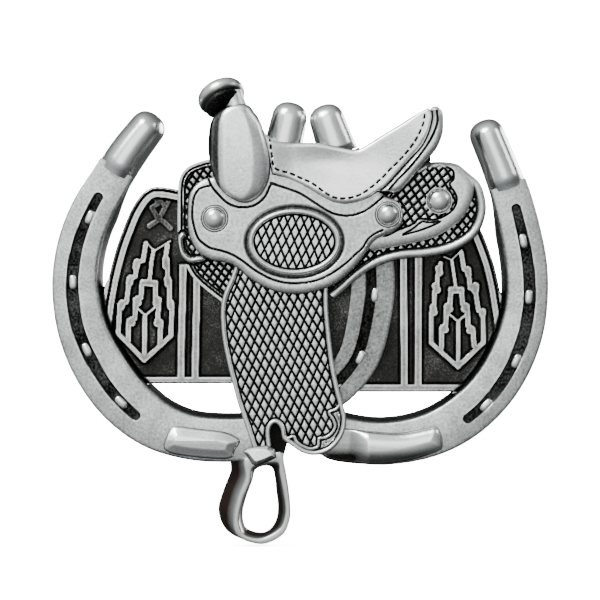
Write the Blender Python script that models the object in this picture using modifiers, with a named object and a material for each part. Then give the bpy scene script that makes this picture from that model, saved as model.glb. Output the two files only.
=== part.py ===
"""Western belt buckle: a saddle over three horseshoes, with a hinged belt bail and a stud behind.

Frame: origin on the flat back face, +Z up as worn, the face looks along -Y, +X is to the right of
someone who looks at the face. Outlines are (x, z) pairs in millimetres, seen from the front.
Heights are millimetres in front of the back face, so a height h lies at y = -h.
"""
import math

import bmesh
import bpy
from mathutils import Matrix, Vector

MM = 0.001
GAP = 0.3                     # clear space between pieces that touch on the real buckle

# Heights of the layers: (lowest, highest)
BLANKET = (0.0, 1.6)
TRIM = (1.9, 2.5)
TREE = (0.0, 1.6)
SHOE_TOP = 4.2
CENTRE_SHOE = (1.9, 3.1)
SKIRT = (3.4, 4.2)
FENDER_LAYER = (4.5, 5.3)
REAR_JOCKEY_LAYER = (4.5, 5.2)
JOCKEY_LAYER = (5.6, 6.5)
PLAQUE_LAYER = (6.8, 7.4)
SEAT_LAYER = (3.4, 7.8)
CANTLE_LAYER = (3.4, 8.2)
FORK_LAYER = (4.5, 9.4)

# Nail grooves
GROOVE_DEPTH = 1.1
GROOVE_WIDTH = 2.1
WALL_DRAFT = 1.0              # how far the inner wall of an outer shoe leans out towards its base
NAIL_SIZE = (1.4, 2.7, 0.9)

# Belt hardware on the back
BELT_WINDOW = 41.0            # clear width of the bail, for a 38 to 40 mm belt
BAIL_BAR = 2.2
BAIL_REACH = 21.2             # from the hinge axis to the far face of the outer bar
BAIL_LIFT = 4.6               # clear height under the bail for the strap
HINGE_X = 10.0
PIN_RADIUS = 1.0
PIN_HEAD_RADIUS = 1.6
PIN_HEAD_HEIGHT = 0.8
BORE_RADIUS = 1.15
EYE_RADIUS = 2.1
EAR_THICKNESS = 2.0
HINGE_Y = BAIL_LIFT + BAIL_BAR / 2
STUD_X = -30.0
STUD_LENGTH = 8.2

# Centre lines of the shoes from the upper heel down: (x, z, half width)
LEFT_SHOE = [(-27.9, 32.8, 3.3), (-31.1, 28.6, 3.5), (-34.4, 23.4, 3.6), (-37.3, 18.5, 3.8),
             (-39.4, 13.3, 3.9), (-40.5, 7.7, 4.0), (-40.4, 2.2, 4.2), (-39.1, -4.0, 4.4),
             (-36.2, -10.1, 4.7), (-32.0, -15.8, 4.7), (-26.5, -20.3, 4.4), (-20.2, -22.7, 4.0),
             (-13.5, -23.3, 3.9), (-6.8, -22.9, 3.8)]
RIGHT_SHOE = [(34.0, 31.5, 3.2), (36.2, 26.1, 3.3), (38.2, 20.5, 3.5), (39.9, 14.0, 3.6),
              (40.9, 8.1, 3.7), (41.0, 2.2, 3.7), (40.0, -3.6, 3.9), (37.7, -9.5, 4.0),
              (34.4, -14.6, 4.0), (29.9, -18.9, 4.0), (24.5, -22.0, 3.9), (18.4, -23.6, 3.8),
              (12.1, -23.8, 3.8), (5.8, -22.7, 3.7)]
CENTRE_X = 1.3                # the centre shoe's line of symmetry
CENTRE_BRANCH = [(6.5, 30.0, 3.5), (10.1, 22.1, 3.8), (12.1, 14.9, 4.0), (13.0, 8.8, 4.0),
                 (13.0, 2.0, 4.0), (11.1, -7.2, 3.8), (7.6, -12.6, 3.5), (4.5, -15.0, 3.2),
                 (1.3, -15.6, 3.0)]

# Places along a centre line, counted in its points
LEFT_MARKS = {"cap": 1.65, "groove": (2.45, 9.65), "nails": (3.3, 5.45, 7.5, 9.1), "end": 13.0}
RIGHT_MARKS = {"cap": 1.7, "groove": (2.2, 9.15), "nails": (3.25, 4.95, 6.9, 8.55), "end": 12.6}


def smooth(points, closed=False, steps=3):
    """Points on a Catmull-Rom curve through the given points, ends included."""
    count = len(points) if closed else len(points) - 1
    curve = [along(points, i / steps, closed) for i in range(count * steps)]
    return curve if closed else curve + [tuple(points[-1])]


def along(points, t, closed=False):
    """The point at place t of a Catmull-Rom curve, where whole numbers are the given points."""
    last = len(points) - 1
    i = math.floor(t) if closed else min(max(math.floor(t), 0), last - 1)
    u = t - i

    def control(k):
        if closed:
            return Vector(points[k % len(points)])
        if k < 0:
            return 2 * Vector(points[0]) - Vector(points[1])
        if k > last:
            return 2 * Vector(points[last]) - Vector(points[last - 1])
        return Vector(points[k])

    a, b, c, d = (control(i + k) for k in (-1, 0, 1, 2))
    p = (2 * b + (c - a) * u + (2 * a - 5 * b + 4 * c - d) * u ** 2 + (3 * b - a - 3 * c + d) * u ** 3) / 2
    return tuple(p)


def across(line, t):
    """The unit vector to the right of the direction of travel at place t, seen from the front."""
    ahead = Vector(along(line, t + 0.02)[:2])
    behind = Vector(along(line, t - 0.02)[:2])
    direction = (ahead - behind).normalized()
    return Vector((direction.y, -direction.x))


def beside(line, t, side, extra):
    """The point that lies a half width plus extra to one side (+1 right, -1 left) of a centre line."""
    x, z, half = along(line, t)
    return tuple(Vector((x, z)) + side * (half + extra) * across(line, t))


def shifted(points, distance):
    """An open row of (x, z) points moved to the left of its direction of travel."""
    moved = []
    for i, point in enumerate(points):
        ahead = Vector(points[min(i + 1, len(points) - 1)])
        behind = Vector(points[max(i - 1, 0)])
        direction = (ahead - behind).normalized()
        moved.append(tuple(Vector(point) + distance * Vector((-direction.y, direction.x))))
    return moved


def spread(start, stop, count):
    """Evenly spaced numbers from start to stop."""
    return [start + (stop - start) * i / (count - 1) for i in range(count)]


def give_material(obj, finish):
    """A Principled material of its own: (colour, roughness)."""
    colour, roughness = finish
    material = bpy.data.materials.new(obj.name)
    material.use_nodes = True
    shader = material.node_tree.nodes["Principled BSDF"]
    shader.inputs["Base Color"].default_value = (*colour, 1.0)
    shader.inputs["Metallic"].default_value = 1.0
    shader.inputs["Roughness"].default_value = roughness
    material.diffuse_color = (*colour, 1.0)
    obj.data.materials.append(material)


POLISHED = ((0.72, 0.73, 0.72), 0.22)
SATIN = ((0.52, 0.53, 0.52), 0.38)
DARK = ((0.16, 0.16, 0.16), 0.55)
TOOLED = ((0.38, 0.38, 0.37), 0.42)
STEEL = ((0.60, 0.60, 0.61), 0.30)


def add_object(name, data, finish=None, collection=None):
    obj = bpy.data.objects.new(name, data)
    (collection or buckle).objects.link(obj)
    if finish:
        give_material(obj, finish)
    return obj


def plate(name, outlines, heights, finish, bevel=0.2):
    """A flat outline, or an outline and its holes, as thick as its layer, with chamfered edges."""
    low, high = heights
    curve = bpy.data.curves.new(name, "CURVE")
    curve.dimensions = "2D"
    curve.fill_mode = "BOTH"
    curve.extrude = ((high - low) / 2 - bevel) * MM
    curve.bevel_depth = bevel * MM
    curve.bevel_resolution = 0
    curve.offset = -bevel * MM
    for outline in outlines:
        spline = curve.splines.new("POLY")
        spline.points.add(len(outline) - 1)
        for point, (x, z) in zip(spline.points, outline):
            point.co = (x * MM, z * MM, 0.0, 1.0)
        spline.use_cyclic_u = True
    obj = add_object(name, curve, finish)
    obj.rotation_euler = (math.pi / 2, 0.0, 0.0)
    obj.location = (0.0, -(low + high) / 2 * MM, 0.0)
    return obj


def loft(name, rings, finish, closed=False):
    """Skin a row of like-numbered rings of (x, z, height) points, capped unless the row is closed."""
    mesh = bpy.data.meshes.new(name)
    bm = bmesh.new()
    rows = [[bm.verts.new((x * MM, -h * MM, z * MM)) for x, z, h in ring] for ring in rings]
    pairs = list(zip(rows, rows[1:]))
    if closed:
        pairs.append((rows[-1], rows[0]))
    for here, there in pairs:
        for i in range(len(here)):
            j = (i + 1) % len(here)
            bm.faces.new((here[i], here[j], there[j], there[i]))
    if not closed:
        bm.faces.new(rows[0])
        bm.faces.new(reversed(rows[-1]))
    bmesh.ops.recalc_face_normals(bm, faces=bm.faces)
    bm.to_mesh(mesh)
    bm.free()
    return add_object(name, mesh, finish)


def ring_across(line, t, side, section, ahead=0.0):
    """A cross-section, (offset towards side, height) pairs, stood on a centre line at place t."""
    x, z, _ = along(line, t)
    right = across(line, t)
    forward = Vector((-right.y, right.x))
    centre = Vector((x, z)) + ahead * forward
    points = [centre + side * offset * right for offset, _ in section]
    return [(p.x, p.y, height) for p, (_, height) in zip(points, section)]


def horseshoe(name, line, marks, inner):
    """An outer shoe: a drafted bar with a nail groove, from its upper heel cap to its hidden end."""
    start, stop = marks["groove"]
    half_groove = GROOVE_WIDTH / 2
    rings = []
    for t in spread(marks["cap"] + 0.06, marks["end"], 46):
        half = along(line, t)[2]
        depth = GROOVE_DEPTH * min(max(min(t - start, stop - t) / 0.2, 0.0), 1.0)
        rings.append(ring_across(line, t, inner, [
            (-half - 0.2, 0.0), (-half, SHOE_TOP - 0.4), (-half + 0.4, SHOE_TOP),
            (-half_groove, SHOE_TOP), (-half_groove + 0.2, SHOE_TOP - depth),
            (half_groove - 0.2, SHOE_TOP - depth), (half_groove, SHOE_TOP),
            (half - 0.4, SHOE_TOP), (half, SHOE_TOP - 0.4), (half + WALL_DRAFT, 0.0)]))
    loft(name, rings, SATIN)


def heel(name, line, stop, inner, wall, crown, draft, finish=POLISHED):
    """A polished heel: the rounded end of a shoe with a crowned top, closed round its tip."""
    def section(half):
        return [(-half, 0.0), (-half, wall), (-0.7 * half, crown - 0.3), (0.0, crown),
                (0.7 * half, crown - 0.3), (half, wall), (half + draft * half / 3.3, 0.0)]

    radius = line[0][2]
    rings = []
    for angle in spread(math.radians(82), math.radians(12), 6):
        half = radius * math.cos(angle)
        rings.append(ring_across(line, 0.0, inner, section(half), ahead=-radius * math.sin(angle)))
    for t in spread(0.0, stop, 7):
        rings.append(ring_across(line, t, inner, section(along(line, t)[2])))
    loft(name, rings, finish)


def nail(name, line, t, bottom):
    """A horseshoe nail's head: a small block with rounded edges, in line with the groove."""
    x, z, _ = along(line, t)
    right = across(line, t)
    width, length, thickness = NAIL_SIZE
    bm = bmesh.new()
    bmesh.ops.create_cube(bm, size=1.0)
    bmesh.ops.scale(bm, vec=Vector((width, thickness, length)) * MM, verts=bm.verts)
    mesh = bpy.data.meshes.new(name)
    bm.to_mesh(mesh)
    bm.free()
    obj = add_object(name, mesh, POLISHED)
    obj.location = (x * MM, -(bottom + thickness / 2) * MM, z * MM)
    obj.rotation_euler = (0.0, -math.atan2(right.y, right.x), 0.0)
    bevel = obj.modifiers.new("rounded", "BEVEL")
    bevel.width = 0.28 * MM
    bevel.segments = 2


def turned(name, profile, place, finish, segments=32):
    """A profile of (radius, distance) pairs turned about the Y axis through place.

    The distance runs towards +Y, and the profile runs down the outer side from its far end.
    """
    mesh = bpy.data.meshes.new(name)
    mesh.from_pydata([(r * MM, 0.0, d * MM) for r, d in profile],
                     [(i, i + 1) for i in range(len(profile) - 1)], [])
    obj = add_object(name, mesh, finish)
    screw = obj.modifiers.new("turn", "SCREW")
    screw.steps = segments
    screw.render_steps = segments
    screw.use_merge_vertices = True
    screw.merge_threshold = 0.00001
    obj.rotation_euler = (-math.pi / 2, 0.0, 0.0)
    obj.location = Vector(place) * MM
    return obj


def dome(name, centre, radius, heights):
    """A concho: a low polished dome with a short upright edge, turned about its own axis."""
    low, high = heights
    rise = high - low
    profile = [(0.0, 0.0), (radius, 0.0), (radius, -0.3)]
    profile += [(radius * math.cos(a), -0.3 - (rise - 0.3) * math.sin(a))
                for a in spread(math.radians(15), math.radians(90), 6)]
    profile[-1] = (0.0, -rise)
    turned(name, profile, (centre[0], -low, centre[1]), POLISHED)


def cylinder(name, radius, low, high, place, collection):
    """A plain cylinder along Z, from low to high."""
    bm = bmesh.new()
    bmesh.ops.create_cone(bm, cap_ends=True, segments=28, radius1=radius * MM, radius2=radius * MM,
                          depth=(high - low) * MM)
    mesh = bpy.data.meshes.new(name)
    bm.to_mesh(mesh)
    bm.free()
    obj = add_object(name, mesh, None, collection)
    obj.location = (place[0] * MM, place[1] * MM, (low + high) / 2 * MM)
    obj.hide_render = True
    obj.display_type = "WIRE"
    return obj


def boolean(obj, other, operation):
    modifier = obj.modifiers.new(other.name, "BOOLEAN")
    modifier.operation = operation
    modifier.object = other
    modifier.solver = "EXACT"


def extruded(name, profile, low, high, finish):
    """A profile in the XY plane, in millimetres, as a prism from z = low to z = high."""
    mesh = bpy.data.meshes.new(name)
    bm = bmesh.new()
    face = bm.faces.new([bm.verts.new((x * MM, y * MM, low * MM)) for x, y in profile])
    top = bmesh.ops.extrude_face_region(bm, geom=[face])["geom"]
    moved = [v for v in top if isinstance(v, bmesh.types.BMVert)]
    bmesh.ops.translate(bm, vec=(0.0, 0.0, (high - low) * MM), verts=moved)
    bmesh.ops.recalc_face_normals(bm, faces=bm.faces)
    bm.to_mesh(mesh)
    bm.free()
    return add_object(name, mesh, finish)


# ---------------------------------------------------------------------------------------------
# Horseshoes
# ---------------------------------------------------------------------------------------------

def build_outer_shoes():
    for side, line, marks, inner in (("left", LEFT_SHOE, LEFT_MARKS, -1), ("right", RIGHT_SHOE,
                                                                           RIGHT_MARKS, 1)):
        horseshoe(side + "_horseshoe", line, marks, inner)
        heel(side + "_heel_cap", line, marks["cap"], inner, 3.4, 5.3, WALL_DRAFT)
        for number, t in enumerate(marks["nails"], 1):
            nail(f"{side}_nail_{number}", line, t, SHOE_TOP - GROOVE_DEPTH + GAP)
    toe = (SHOE_TOP + GAP, SHOE_TOP + GAP + 1.0)
    left = [(-24.2, -24.6), (-23.8, -21.8), (-22.2, -20.8), (-18.0, -21.2), (-14.4, -21.7),
            (-12.0, -22.4),
            (-10.9, -23.4), (-11.7, -25.4), (-14.0, -26.9), (-20.7, -26.2)]
    right = [(8.9, -21.3), (12.6, -21.8), (18.0, -22.0), (22.5, -21.1), (24.6, -20.9), (25.6, -22.8),
             (25.7, -25.0), (22.5, -26.2), (14.4, -27.1), (9.0, -26.6)]
    plate("left_toe_pad", [smooth(left, closed=True)], toe, POLISHED, bevel=0.45)
    plate("right_toe_pad", [smooth(right, closed=True)], toe, POLISHED, bevel=0.45)


def build_centre_shoe():
    """The shoe behind the saddle: a flat bar with a raised middle, and two heels above the seat."""
    branch = [(2 * CENTRE_X - x, z, half) for x, z, half in CENTRE_BRANCH]
    line = CENTRE_BRANCH + branch[-2::-1]
    low, high = CENTRE_SHOE
    rings = []
    for t in spread(0.25, len(line) - 1.25, 40):
        half = along(line, t)[2]
        rings.append(ring_across(line, t, 1, [
            (-half, low), (-half, high), (-0.8, high), (-0.6, high - 0.5), (0.9, high - 0.5),
            (1.1, high), (half, high), (half, low)]))
    loft("centre_horseshoe", rings, TOOLED)
    for number, t in enumerate((3.9, 5.1), 1):
        nail(f"centre_nail_{number}", line, t, high - 0.5 + GAP)
    left_heel = [(-2.0, 34.6, 3.15), (-3.0, 31.0, 3.3)]
    right_heel = [(4.75, 34.3, 3.1), (6.2, 31.2, 3.35)]
    for side, points, inner in (("left", left_heel, -1), ("right", right_heel, 1)):
        heel(f"centre_{side}_heel", points, 0.92, inner, 2.8, 4.4, 0.0)


# ---------------------------------------------------------------------------------------------
# Blanket panels
# ---------------------------------------------------------------------------------------------

LEFT_BORDER = [(-22.0, 21.9), (-26.3, 22.3), (-29.2, 20.2), (-31.9, 14.9), (-33.8, 8.8), (-34.5, 5.9)]
RIGHT_BORDER = [(32.9, 14.2), (34.3, 10.6), (35.5, 6.4), (36.0, 4.0)]
LEFT_HEM = (-13.1, -11.7)     # z of the lower and the upper edge of the left panel's bottom bar
RIGHT_HEM = (-14.6, -13.1)
TREE_LEFT = [(-21.0, 21.0), (-21.2, 12.0), (-19.6, 8.0), (-16.6, 5.0), (-12.9, 2.8), (-11.4, -1.0)]
TREE_RIGHT = [(4.7, 1.0), (9.0, 5.4), (12.4, 8.0), (18.4, 10.0), (25.7, 10.9), (30.7, 13.6)]


def build_blankets():
    left_edge = smooth(LEFT_BORDER) + [beside(LEFT_SHOE, t, -1,
                                              WALL_DRAFT + GAP) for t in spread(5.7, 9.32, 12)]
    right_edge = smooth(RIGHT_BORDER) + [beside(RIGHT_SHOE, t, 1,
                                                WALL_DRAFT + GAP) for t in spread(4.9, 8.97, 12)]
    left_inside = [(x - 0.35, z - 0.35) for x, z in reversed(TREE_LEFT)]
    right_inside = [(x + 0.35, z - 0.35) for x, z in TREE_RIGHT]
    left_end = left_edge[-1][0] + 0.4
    right_end = right_edge[-1][0] - 0.4
    plate("left_blanket", [left_edge + [(left_end, LEFT_HEM[0]), (-11.2, LEFT_HEM[0])] + left_inside],
          BLANKET, DARK, bevel=0.1)
    plate("right_blanket", [right_edge + [(right_end, RIGHT_HEM[0]),
                                          (7.0, RIGHT_HEM[0])] + right_inside],
          BLANKET, DARK, bevel=0.1)
    binding = 0.55
    for side, edge, hem, bars, sign in (
            ("left", left_edge, LEFT_HEM, ((-22.1, -20.7), (-19.6, -18.2)), 1),
            ("right", right_edge, RIGHT_HEM, ((20.5, 21.9), (18.2, 19.6)), -1)):
        outer = edge[2:]
        inner = [p for p in shifted(outer, sign * binding) if p[1] > hem[1] + 0.3]
        top = 1.5 if side == "left" else 7.0
        comb = outer + [(outer[-1][0] + sign * 0.4, hem[0]), (sign * -12.6 if sign > 0 else 16.6,
                                                              hem[0])]
        comb.append((comb[-1][0], hem[1]))
        for first, second in reversed(bars):
            near, far = (second, first) if sign > 0 else (first, second)
            comb += [(near, hem[1]), (near, top), (far, top), (far, hem[1])]
        comb.append((inner[-1][0] + sign * 1.5, hem[1]))
        plate(f"{side}_blanket_trim", [comb + inner[::-1]], TRIM, SATIN, bevel=0.05)
    stepped_figure("left_blanket_figure", -27.4, 0.2)
    stepped_figure("right_blanket_figure", 28.4, -1.1)


def stepped_figure(name, x, z):
    """A shield with stepped sides that narrows upwards to a point, and one diamond hole."""
    half = [(0.0, -9.4), (4.0, -5.0), (4.2, 0.4), (3.6, 0.4), (3.6, 3.8), (2.8, 3.8), (2.8, 6.8),
            (2.0, 6.8),
            (2.0, 9.4), (0.9, 9.4), (0.9, 12.4)]
    outline = [(x + a, z + b) for a, b in half] + [(x - a, z + b) for a, b in reversed(half[1:])]
    hole = [(x, z - 5.6), (x - 1.6, z - 3.4), (x, z - 1.2), (x + 1.6, z - 3.4)]
    plate(name, [outline, hole], TRIM, TOOLED, bevel=0.1)


# ---------------------------------------------------------------------------------------------
# Saddle
# ---------------------------------------------------------------------------------------------

SEAT_LINE = [(-5.0, 24.4), (-1.8, 23.5), (1.4, 22.0), (4.5, 20.2), (6.8, 19.3), (9.0, 19.3),
             (11.7, 19.9),
             (14.0, 21.2)]    # where the seat meets the jockey
FORK_FOOT = [(-15.8, 23.9), (-13.7, 21.1), (-11.9, 19.8), (-9.7, 19.3), (-7.6, 20.2), (-5.9, 22.1),
             (-5.0, 24.4)]


def build_saddle_base():
    top = [(-20.2, 25.4), (-15.9, 26.8), (-15.8, 31.7), (-14.8, 34.8), (-9.7, 36.4), (-6.9, 31.6),
           (-5.0, 30.0),
           (3.6, 29.8), (10.3, 28.7), (15.3, 31.4), (23.0, 35.9), (24.9, 35.2), (25.1, 31.8),
           (23.6, 28.4),
           (23.6, 26.3), (27.7, 26.0), (31.7, 22.8), (32.8, 18.0)]
    foot = [(6.4, -15.4), (6.2, -16.9), (2.9, -17.2), (2.9, -23.6), (-5.4, -23.6), (-5.4, -17.2),
            (-10.8, -17.2)]
    plate("saddle_tree", [top + TREE_RIGHT[::-1] + foot + TREE_LEFT[::-1]], TREE, DARK, bevel=0.1)
    skirt = [(-17.1, 4.0), (-19.3, 6.1), (-20.7, 8.6), (-21.6, 11.3), (-22.0, 14.9), (-22.0, 19.4),
             (-21.7, 23.4),
             (-20.5, 25.7), (-18.0, 26.9), (-16.2, 27.4), (-15.9, 31.7), (-14.8, 34.8), (-12.2, 35.9)]
    plate("front_skirt", [smooth(skirt) + [(-9.2, 30.0), (-9.2, 4.4), (-13.6, 1.9)]], SKIRT, TOOLED)
    skirt = [(25.4, 26.9), (27.9, 26.6), (30.2, 25.2), (32.4, 23.0), (33.4, 20.5), (33.4, 18.0),
             (32.8, 15.3),
             (31.3, 13.1), (28.8, 11.4), (25.9, 10.3), (22.5, 9.7), (18.4, 9.4), (15.3, 8.6),
             (12.6, 7.4),
             (10.3, 5.8), (6.3, 2.4)]
    plate("rear_skirt", [smooth(skirt) + [(5.0, 3.4), (12.4, 14.5), (19.0, 19.6)]], SKIRT, TOOLED)


def build_leathers():
    jockey = [(18.9, 21.6), (22.0, 24.6), (24.6, 26.2), (27.5, 26.1), (29.9, 25.0), (31.2, 23.0),
              (31.0, 19.8),
              (29.2, 16.7), (27.0, 14.8), (23.8, 13.1), (19.8, 12.1), (16.2, 11.4), (13.6, 10.8)]
    plate("rear_jockey", [smooth(jockey) + [(11.6, 12.6), (16.8, 18.4)]], REAR_JOCKEY_LAYER, TOOLED)
    side = [(-11.5, 8.8), (-12.6, 5.6), (-13.7, 3.1), (-14.2, -0.7), (-13.9, -5.2), (-12.2, -12.8),
            (-11.2, -16.6), (-8.5, -24.5)]
    toe = [(-2.7, -23.0), (-1.4, -24.3), (0.5, -25.5), (2.7, -25.9), (5.0, -25.3), (6.8, -23.8),
           (8.0, -21.6),
           (8.3, -19.1), (7.0, -13.9), (5.8, -7.0), (5.1, 0.2), (5.0, 8.8)]
    keyhole = [(-4.4 + 1.7 * math.cos(a), -21.1 + 1.7 * math.sin(a)) for a in spread(math.pi, 0.0, 9)]
    plate("fender", [smooth(side) + [(-6.1, -24.1)] + keyhole + smooth(toe)], FENDER_LAYER, TOOLED)
    skirt = [(14.9, 20.6), (16.6, 20.3), (18.0, 19.1), (18.5, 17.1), (18.0, 15.3), (16.4, 14.0),
             (14.0, 13.1),
             (12.6, 11.7), (9.2, 7.2), (6.5, 5.0), (3.6, 3.8), (0.4, 3.1), (-2.7, 3.2),
             (-5.8, 4.0), (-9.0, 5.8),
             (-11.2, 7.7), (-13.3, 8.7), (-15.8, 9.1), (-18.0, 10.3), (-19.4, 12.2), (-20.2, 14.9),
             (-20.2, 17.8),
             (-20.0, 20.5), (-19.1, 22.3), (-17.5, 23.4), (-16.5, 23.6)]
    foot = [(x, z - 0.5) for x, z in FORK_FOOT]
    line = [(x, z - 0.35) for x, z in SEAT_LINE[1:]]
    plate("seat_jockey", [smooth(skirt) + smooth(foot) + smooth(line)], JOCKEY_LAYER, SATIN)
    oval = [(-1.0 + 8.4 * math.cos(a), 12.4 + 6.0 * math.sin(a)) for a in spread(0.0, math.tau, 41)[:-1]]
    plate("oval_plaque", [oval], PLAQUE_LAYER, TOOLED, bevel=0.25)
    dome("front_concho", (-15.3, 16.6), 2.3, (PLAQUE_LAYER[0], PLAQUE_LAYER[0] + 1.3))
    dome("middle_concho", (15.8, 17.3), 2.2, (PLAQUE_LAYER[0], PLAQUE_LAYER[0] + 1.3))
    dome("rear_concho", (25.0, 19.8), 2.4, (5.5, 6.9))


def build_seat():
    top = [(-5.2, 30.2), (0.0, 30.2), (3.6, 30.0), (7.2, 29.5), (10.3, 29.0), (12.6, 30.2),
           (18.0, 33.5),
           (22.2, 36.0)]
    edge = [(22.9, 33.2), (21.6, 29.6), (19.0, 25.8), (16.6, 23.2), (14.3, 21.6)]
    plate("seat", [smooth(top) + smooth(edge) + smooth(SEAT_LINE[::-1])], SEAT_LAYER, POLISHED,
          bevel=0.6)
    roll = [(22.7, 36.2), (24.1, 36.7), (25.2, 36.0), (25.7, 34.4), (25.6, 32.0), (24.7, 29.5),
            (23.2, 27.5),
            (21.2, 25.2), (18.4, 22.1), (16.9, 21.0), (15.2, 21.4)]
    inside = [(17.0, 23.0), (19.4, 25.6), (22.0, 29.4), (23.3, 33.2)]
    plate("cantle_roll", [smooth(roll) + smooth(inside)], CANTLE_LAYER, SATIN, bevel=0.5)


def build_fork_and_horn():
    """The swell is a tall rounded pad, and the horn leans back from its top."""
    outline = smooth([(-9.6, 36.1), (-13.0, 35.8), (-15.1, 34.8), (-16.3, 31.7), (-16.4, 28.0),
                      (-15.9, 25.2),
                      (-14.6, 22.5), (-12.6, 20.6), (-10.0, 19.8), (-7.7, 20.6), (-6.2, 22.6),
                      (-5.5, 25.0),
                      (-5.5, 27.5), (-6.0, 30.0), (-7.2, 33.4)], closed=True)
    low, high = FORK_LAYER
    centre = Vector((-10.9, 28.4))
    rings = [[(x, z, low) for x, z in outline]]
    for angle in spread(0.0, math.radians(84), 6):
        scale = 0.25 + 0.75 * math.cos(angle)
        height = low + 1.6 + (high - low - 1.6) * math.sin(angle)
        shrunk = [centre + (Vector(p) - centre) * scale for p in outline]
        rings.append([(p.x, p.y, height) for p in shrunk])
    loft("fork_swell", rings, SATIN)
    bm = bmesh.new()
    bmesh.ops.create_cone(bm, cap_ends=True, segments=24, radius1=1.7 * MM, radius2=1.4 * MM,
                          depth=0.6 * MM)
    mesh = bpy.data.meshes.new("horn_neck")
    bm.to_mesh(mesh)
    bm.free()
    neck = add_object("horn_neck", mesh, SATIN)
    neck.location = Vector((-11.7, -6.2, 36.9)) * MM
    bm = bmesh.new()
    bmesh.ops.create_uvsphere(bm, u_segments=24, v_segments=12, radius=1.0)
    bmesh.ops.scale(bm, vec=Vector((4.2, 3.7, 2.5)) * MM, verts=bm.verts)
    mesh = bpy.data.meshes.new("horn_cap")
    bm.to_mesh(mesh)
    bm.free()
    mesh.shade_smooth()
    cap = add_object("horn_cap", mesh, POLISHED)
    cap.location = Vector((-14.1, -6.2, 39.6)) * MM
    cap.rotation_euler = (0.0, math.radians(-20), 0.0)


# ---------------------------------------------------------------------------------------------
# Stirrup
# ---------------------------------------------------------------------------------------------

def build_stirrup():
    """The stirrup is a bell-shaped band, turned so that its outer wall flares out behind its rim."""
    front_outer = [(-6.0, -27.6), (-3.6, -28.0), (-2.7, -30.4), (-2.2, -33.7), (-1.9, -36.4),
                   (-2.2, -39.0),
                   (-3.6, -40.9), (-6.3, -41.9), (-9.0, -41.4), (-10.6, -39.7), (-10.8, -37.0),
                   (-10.1, -34.2),
                   (-9.2, -31.3), (-8.9, -28.5)]
    front_inner = [(-6.0, -28.9), (-4.8, -29.3), (-4.2, -31.0), (-3.5, -33.9), (-3.1, -36.4),
                   (-3.3, -38.4),
                   (-4.4, -39.9), (-6.4, -40.7), (-8.4, -40.4), (-9.6, -39.1), (-9.7, -37.0),
                   (-9.0, -34.6),
                   (-8.1, -31.9), (-7.6, -29.6)]
    back_inner = [(-6.4, -29.4), (-5.4, -29.8), (-4.8, -31.2), (-4.3, -34.0), (-4.1, -36.4),
                  (-4.3, -38.4),
                  (-5.2, -39.5), (-6.8, -40.1), (-8.5, -39.8), (-9.6, -38.8), (-9.8, -36.8),
                  (-9.3, -34.3),
                  (-8.6, -31.8), (-8.0, -30.0)]
    back_outer = [(-6.2, -27.6), (-3.9, -28.2), (-3.0, -30.5), (-2.6, -33.7), (-2.4, -36.4),
                  (-2.8, -38.8),
                  (-4.3, -40.5), (-7.0, -41.6), (-10.8, -41.2), (-13.6, -39.4), (-14.8, -36.8),
                  (-14.2, -33.5),
                  (-13.0, -31.0), (-12.4, -28.3)]
    loops = [smooth(points, closed=True) for points in (front_outer, back_outer, back_inner,
                                                        front_inner)]
    heights = (5.0, 0.4, 0.4, 5.0)
    rings = [[(x, z, h) for (x, z), h in zip(corner, heights)] for corner in zip(*loops)]
    loft("stirrup", rings, SATIN, closed=True)
    block = [(-10.4, -25.2), (-8.6, -24.9), (-5.6, -24.6), (-4.4, -26.0), (-4.0, -27.2), (-6.2, -27.9),
             (-8.4, -27.6)]
    plate("stirrup_block", [smooth(block, closed=True, steps=2)], (5.6, 6.9), POLISHED)


# ---------------------------------------------------------------------------------------------
# Belt hardware on the back
# ---------------------------------------------------------------------------------------------

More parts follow.
